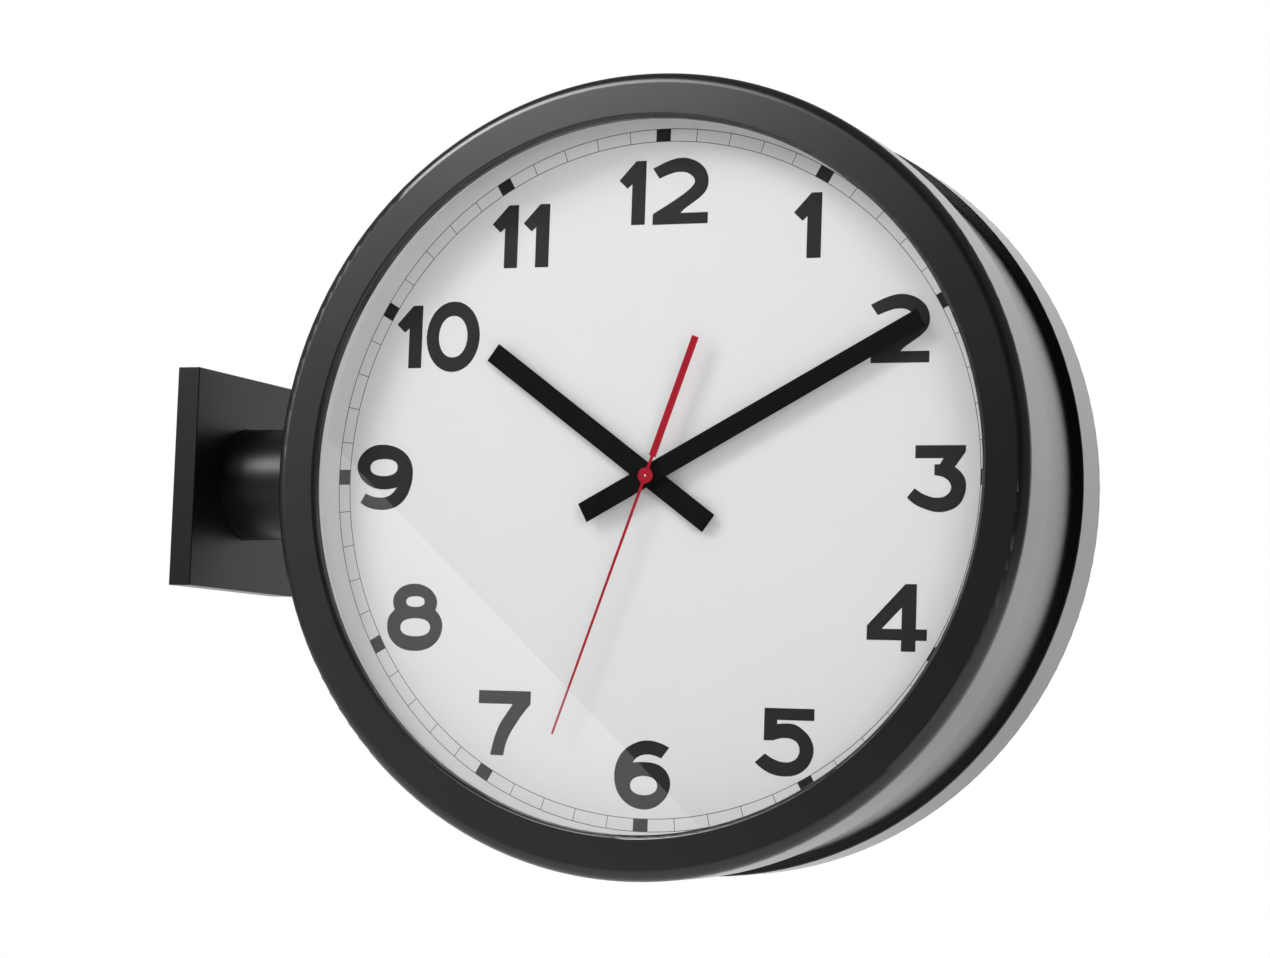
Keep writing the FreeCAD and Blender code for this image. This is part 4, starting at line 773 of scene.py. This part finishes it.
# %% Floor
def new_floor_paint(glow, mirrored_glow):
    """White paint whose glow is seen by the camera and in mirrors, and lights nothing."""
    paint, tree, principled = new_shader("floor_paint", Base_Color=(0.8, 0.8, 0.8, 1),
                                         Roughness=0.9, Specular_IOR_Level=0.0)
    emission = tree.nodes.new("ShaderNodeEmission")
    path = tree.nodes.new("ShaderNodeLightPath")
    direct = add_math(tree, "MULTIPLY", None, glow)
    total = add_math(tree, "MULTIPLY_ADD", None, mirrored_glow)
    both_shaders = tree.nodes.new("ShaderNodeAddShader")
    link = tree.links.new
    link(path.outputs["Is Camera Ray"], direct.inputs[0])
    link(path.outputs["Is Glossy Ray"], total.inputs[0])
    link(direct.outputs[0], total.inputs[2])
    link(total.outputs[0], emission.inputs["Strength"])
    link(principled.outputs[0], both_shaders.inputs[0])
    link(emission.outputs[0], both_shaders.inputs[1])
    link(both_shaders.outputs[0], tree.nodes["Material Output"].inputs["Surface"])
    return paint


FLOOR_SIZE, FLOOR_PLACE = 6, (0.25, 0, -0.75)

deselect_all()
bpy.ops.mesh.primitive_plane_add(size=FLOOR_SIZE, location=FLOOR_PLACE)
floor = bpy.context.object
floor.name = "floor"
floor.data.materials.append(new_floor_paint(glow=0.33, mirrored_glow=0.6))
print("floor at", floor.location.z)

# %% [markdown]
# ## Sky and lamps
#
# A soft sky fills the shadows. It is bright for matt surfaces and dim for shiny ones, because
# black paint shows every bright surface around it. The shine on the housing comes from cards,
# as in a studio: small ones up on the left shine on the top of the bezel, a slanted one stands
# low on the left and shows in the glass, and the sky behind the clock is bright, so that it
# runs along the sides of the rings. A key lamp up on the left lights the dial and casts the
# hands' shadows, a fill lamp on the right evens it out, and a second pair lights the rear dial.

# %% Sky
# Where the mirrored sky changes, as the Y part of a direction.
TOWARDS_CAMERA = (-0.85, -0.45)
BEHIND_CLOCK = (0.72, 0.95)


def set_sky(diffuse, front, side, back):
    """White for the camera, a soft grey light for matt surfaces, dim in a shiny one's mirror.

    In that mirror the sky is dark towards -Y, where the camera stands, and brightest towards
    +Y, behind the clock, like a lit backdrop.
    """
    world = bpy.data.worlds.new("studio")
    bpy.context.scene.world = world
    world.use_nodes = True
    tree = world.node_tree
    background = tree.nodes["Background"]
    background.inputs["Color"].default_value = (1, 1, 1, 1)
    place = tree.nodes.new("ShaderNodeTexCoord")
    split = tree.nodes.new("ShaderNodeSeparateXYZ")
    zones = add_math(tree, "ADD")
    link = tree.links.new
    link(place.outputs["Generated"], split.inputs[0])
    for total, (low, high), dark, bright in (
            (zones.inputs[0], TOWARDS_CAMERA, front, side),
            (zones.inputs[1], BEHIND_CLOCK, 0, back - side)):
        zone = add_node(tree, "ShaderNodeMapRange", From_Min=low, From_Max=high,
                        To_Min=dark, To_Max=bright)
        zone.interpolation_type = "SMOOTHSTEP"
        link(split.outputs["Y"], zone.inputs["Value"])
        link(zone.outputs["Result"], total)
    path = tree.nodes.new("ShaderNodeLightPath")
    mirrored = add_math(tree, "MAXIMUM")
    sheen = add_node(tree, "ShaderNodeMix", A=diffuse)
    seen = add_node(tree, "ShaderNodeMix", B=1.0)
    link(zones.outputs[0], sheen.inputs["B"])
    link(path.outputs["Is Glossy Ray"], mirrored.inputs[0])
    link(path.outputs["Is Transmission Ray"], mirrored.inputs[1])
    link(mirrored.outputs[0], sheen.inputs["Factor"])
    link(path.outputs["Is Camera Ray"], seen.inputs["Factor"])
    link(sheen.outputs["Result"], seen.inputs["A"])
    link(seen.outputs["Result"], background.inputs["Strength"])


set_sky(diffuse=0.52, front=0.02, side=0.3, back=1.7)


# %% Lamps
def add_lamp(name, place, target, size, brightness, roll=0, glossy=True, diffuse=True):
    """A rectangular area lamp that points at a target, with the brightness of its surface."""
    deselect_all()
    turn = (Vector(target) - Vector(place)).to_track_quat("-Z", "Y").to_euler()
    bpy.ops.object.light_add(type="AREA", location=place, rotation=turn)
    lamp = bpy.context.object
    lamp.name = name
    lamp.rotation_euler.rotate_axis("Z", math.radians(roll))
    lamp.data.shape = "RECTANGLE"
    lamp.data.size, lamp.data.size_y = size
    lamp.data.energy = brightness * math.pi * size[0] * size[1]
    lamp.visible_camera = False
    lamp.visible_glossy = glossy
    lamp.visible_diffuse = diffuse


middle = (clock_x, 0, 0)
CARD_X, CARD_Z = -1.842, -0.958
add_lamp("key", (-0.9, -1.6, 1.5), middle, size=(0.9, 0.9), brightness=6.4, glossy=False)
add_lamp("top_shine", (-0.25, -1.0, 0.76), middle, size=(0.5, 0.5), brightness=11.0,
         diffuse=False)
add_lamp("upper_left_shine", (-0.6, -0.95, 0.72), middle, size=(0.4, 0.4), brightness=24.0,
         diffuse=False)
add_lamp("left_shine", (-1.1, -1.1, 0.45), middle, size=(0.6, 0.6), brightness=2.2,
         diffuse=False)
add_lamp("slanted_card", (CARD_X, -2.6, CARD_Z), (CARD_X, 0, CARD_Z), size=(2.6, 1.9),
         brightness=0.75, roll=48.2)
add_lamp("fill", (2.2, -2.4, 0.6), middle, size=(1.2, 1.2), brightness=4.8, glossy=False)
add_lamp("rear_key", (1.3, 1.7, 1.3), middle, size=(0.9, 0.9), brightness=5.5, glossy=False)
add_lamp("rear_fill", (-1.7, 2.2, 0.5), middle, size=(1.2, 1.2), brightness=3.5, glossy=False)

# %% [markdown]
# ## Colours as written
#
# The Standard view transform shows each colour as it is written.

bpy.context.scene.view_settings.view_transform = "Standard"
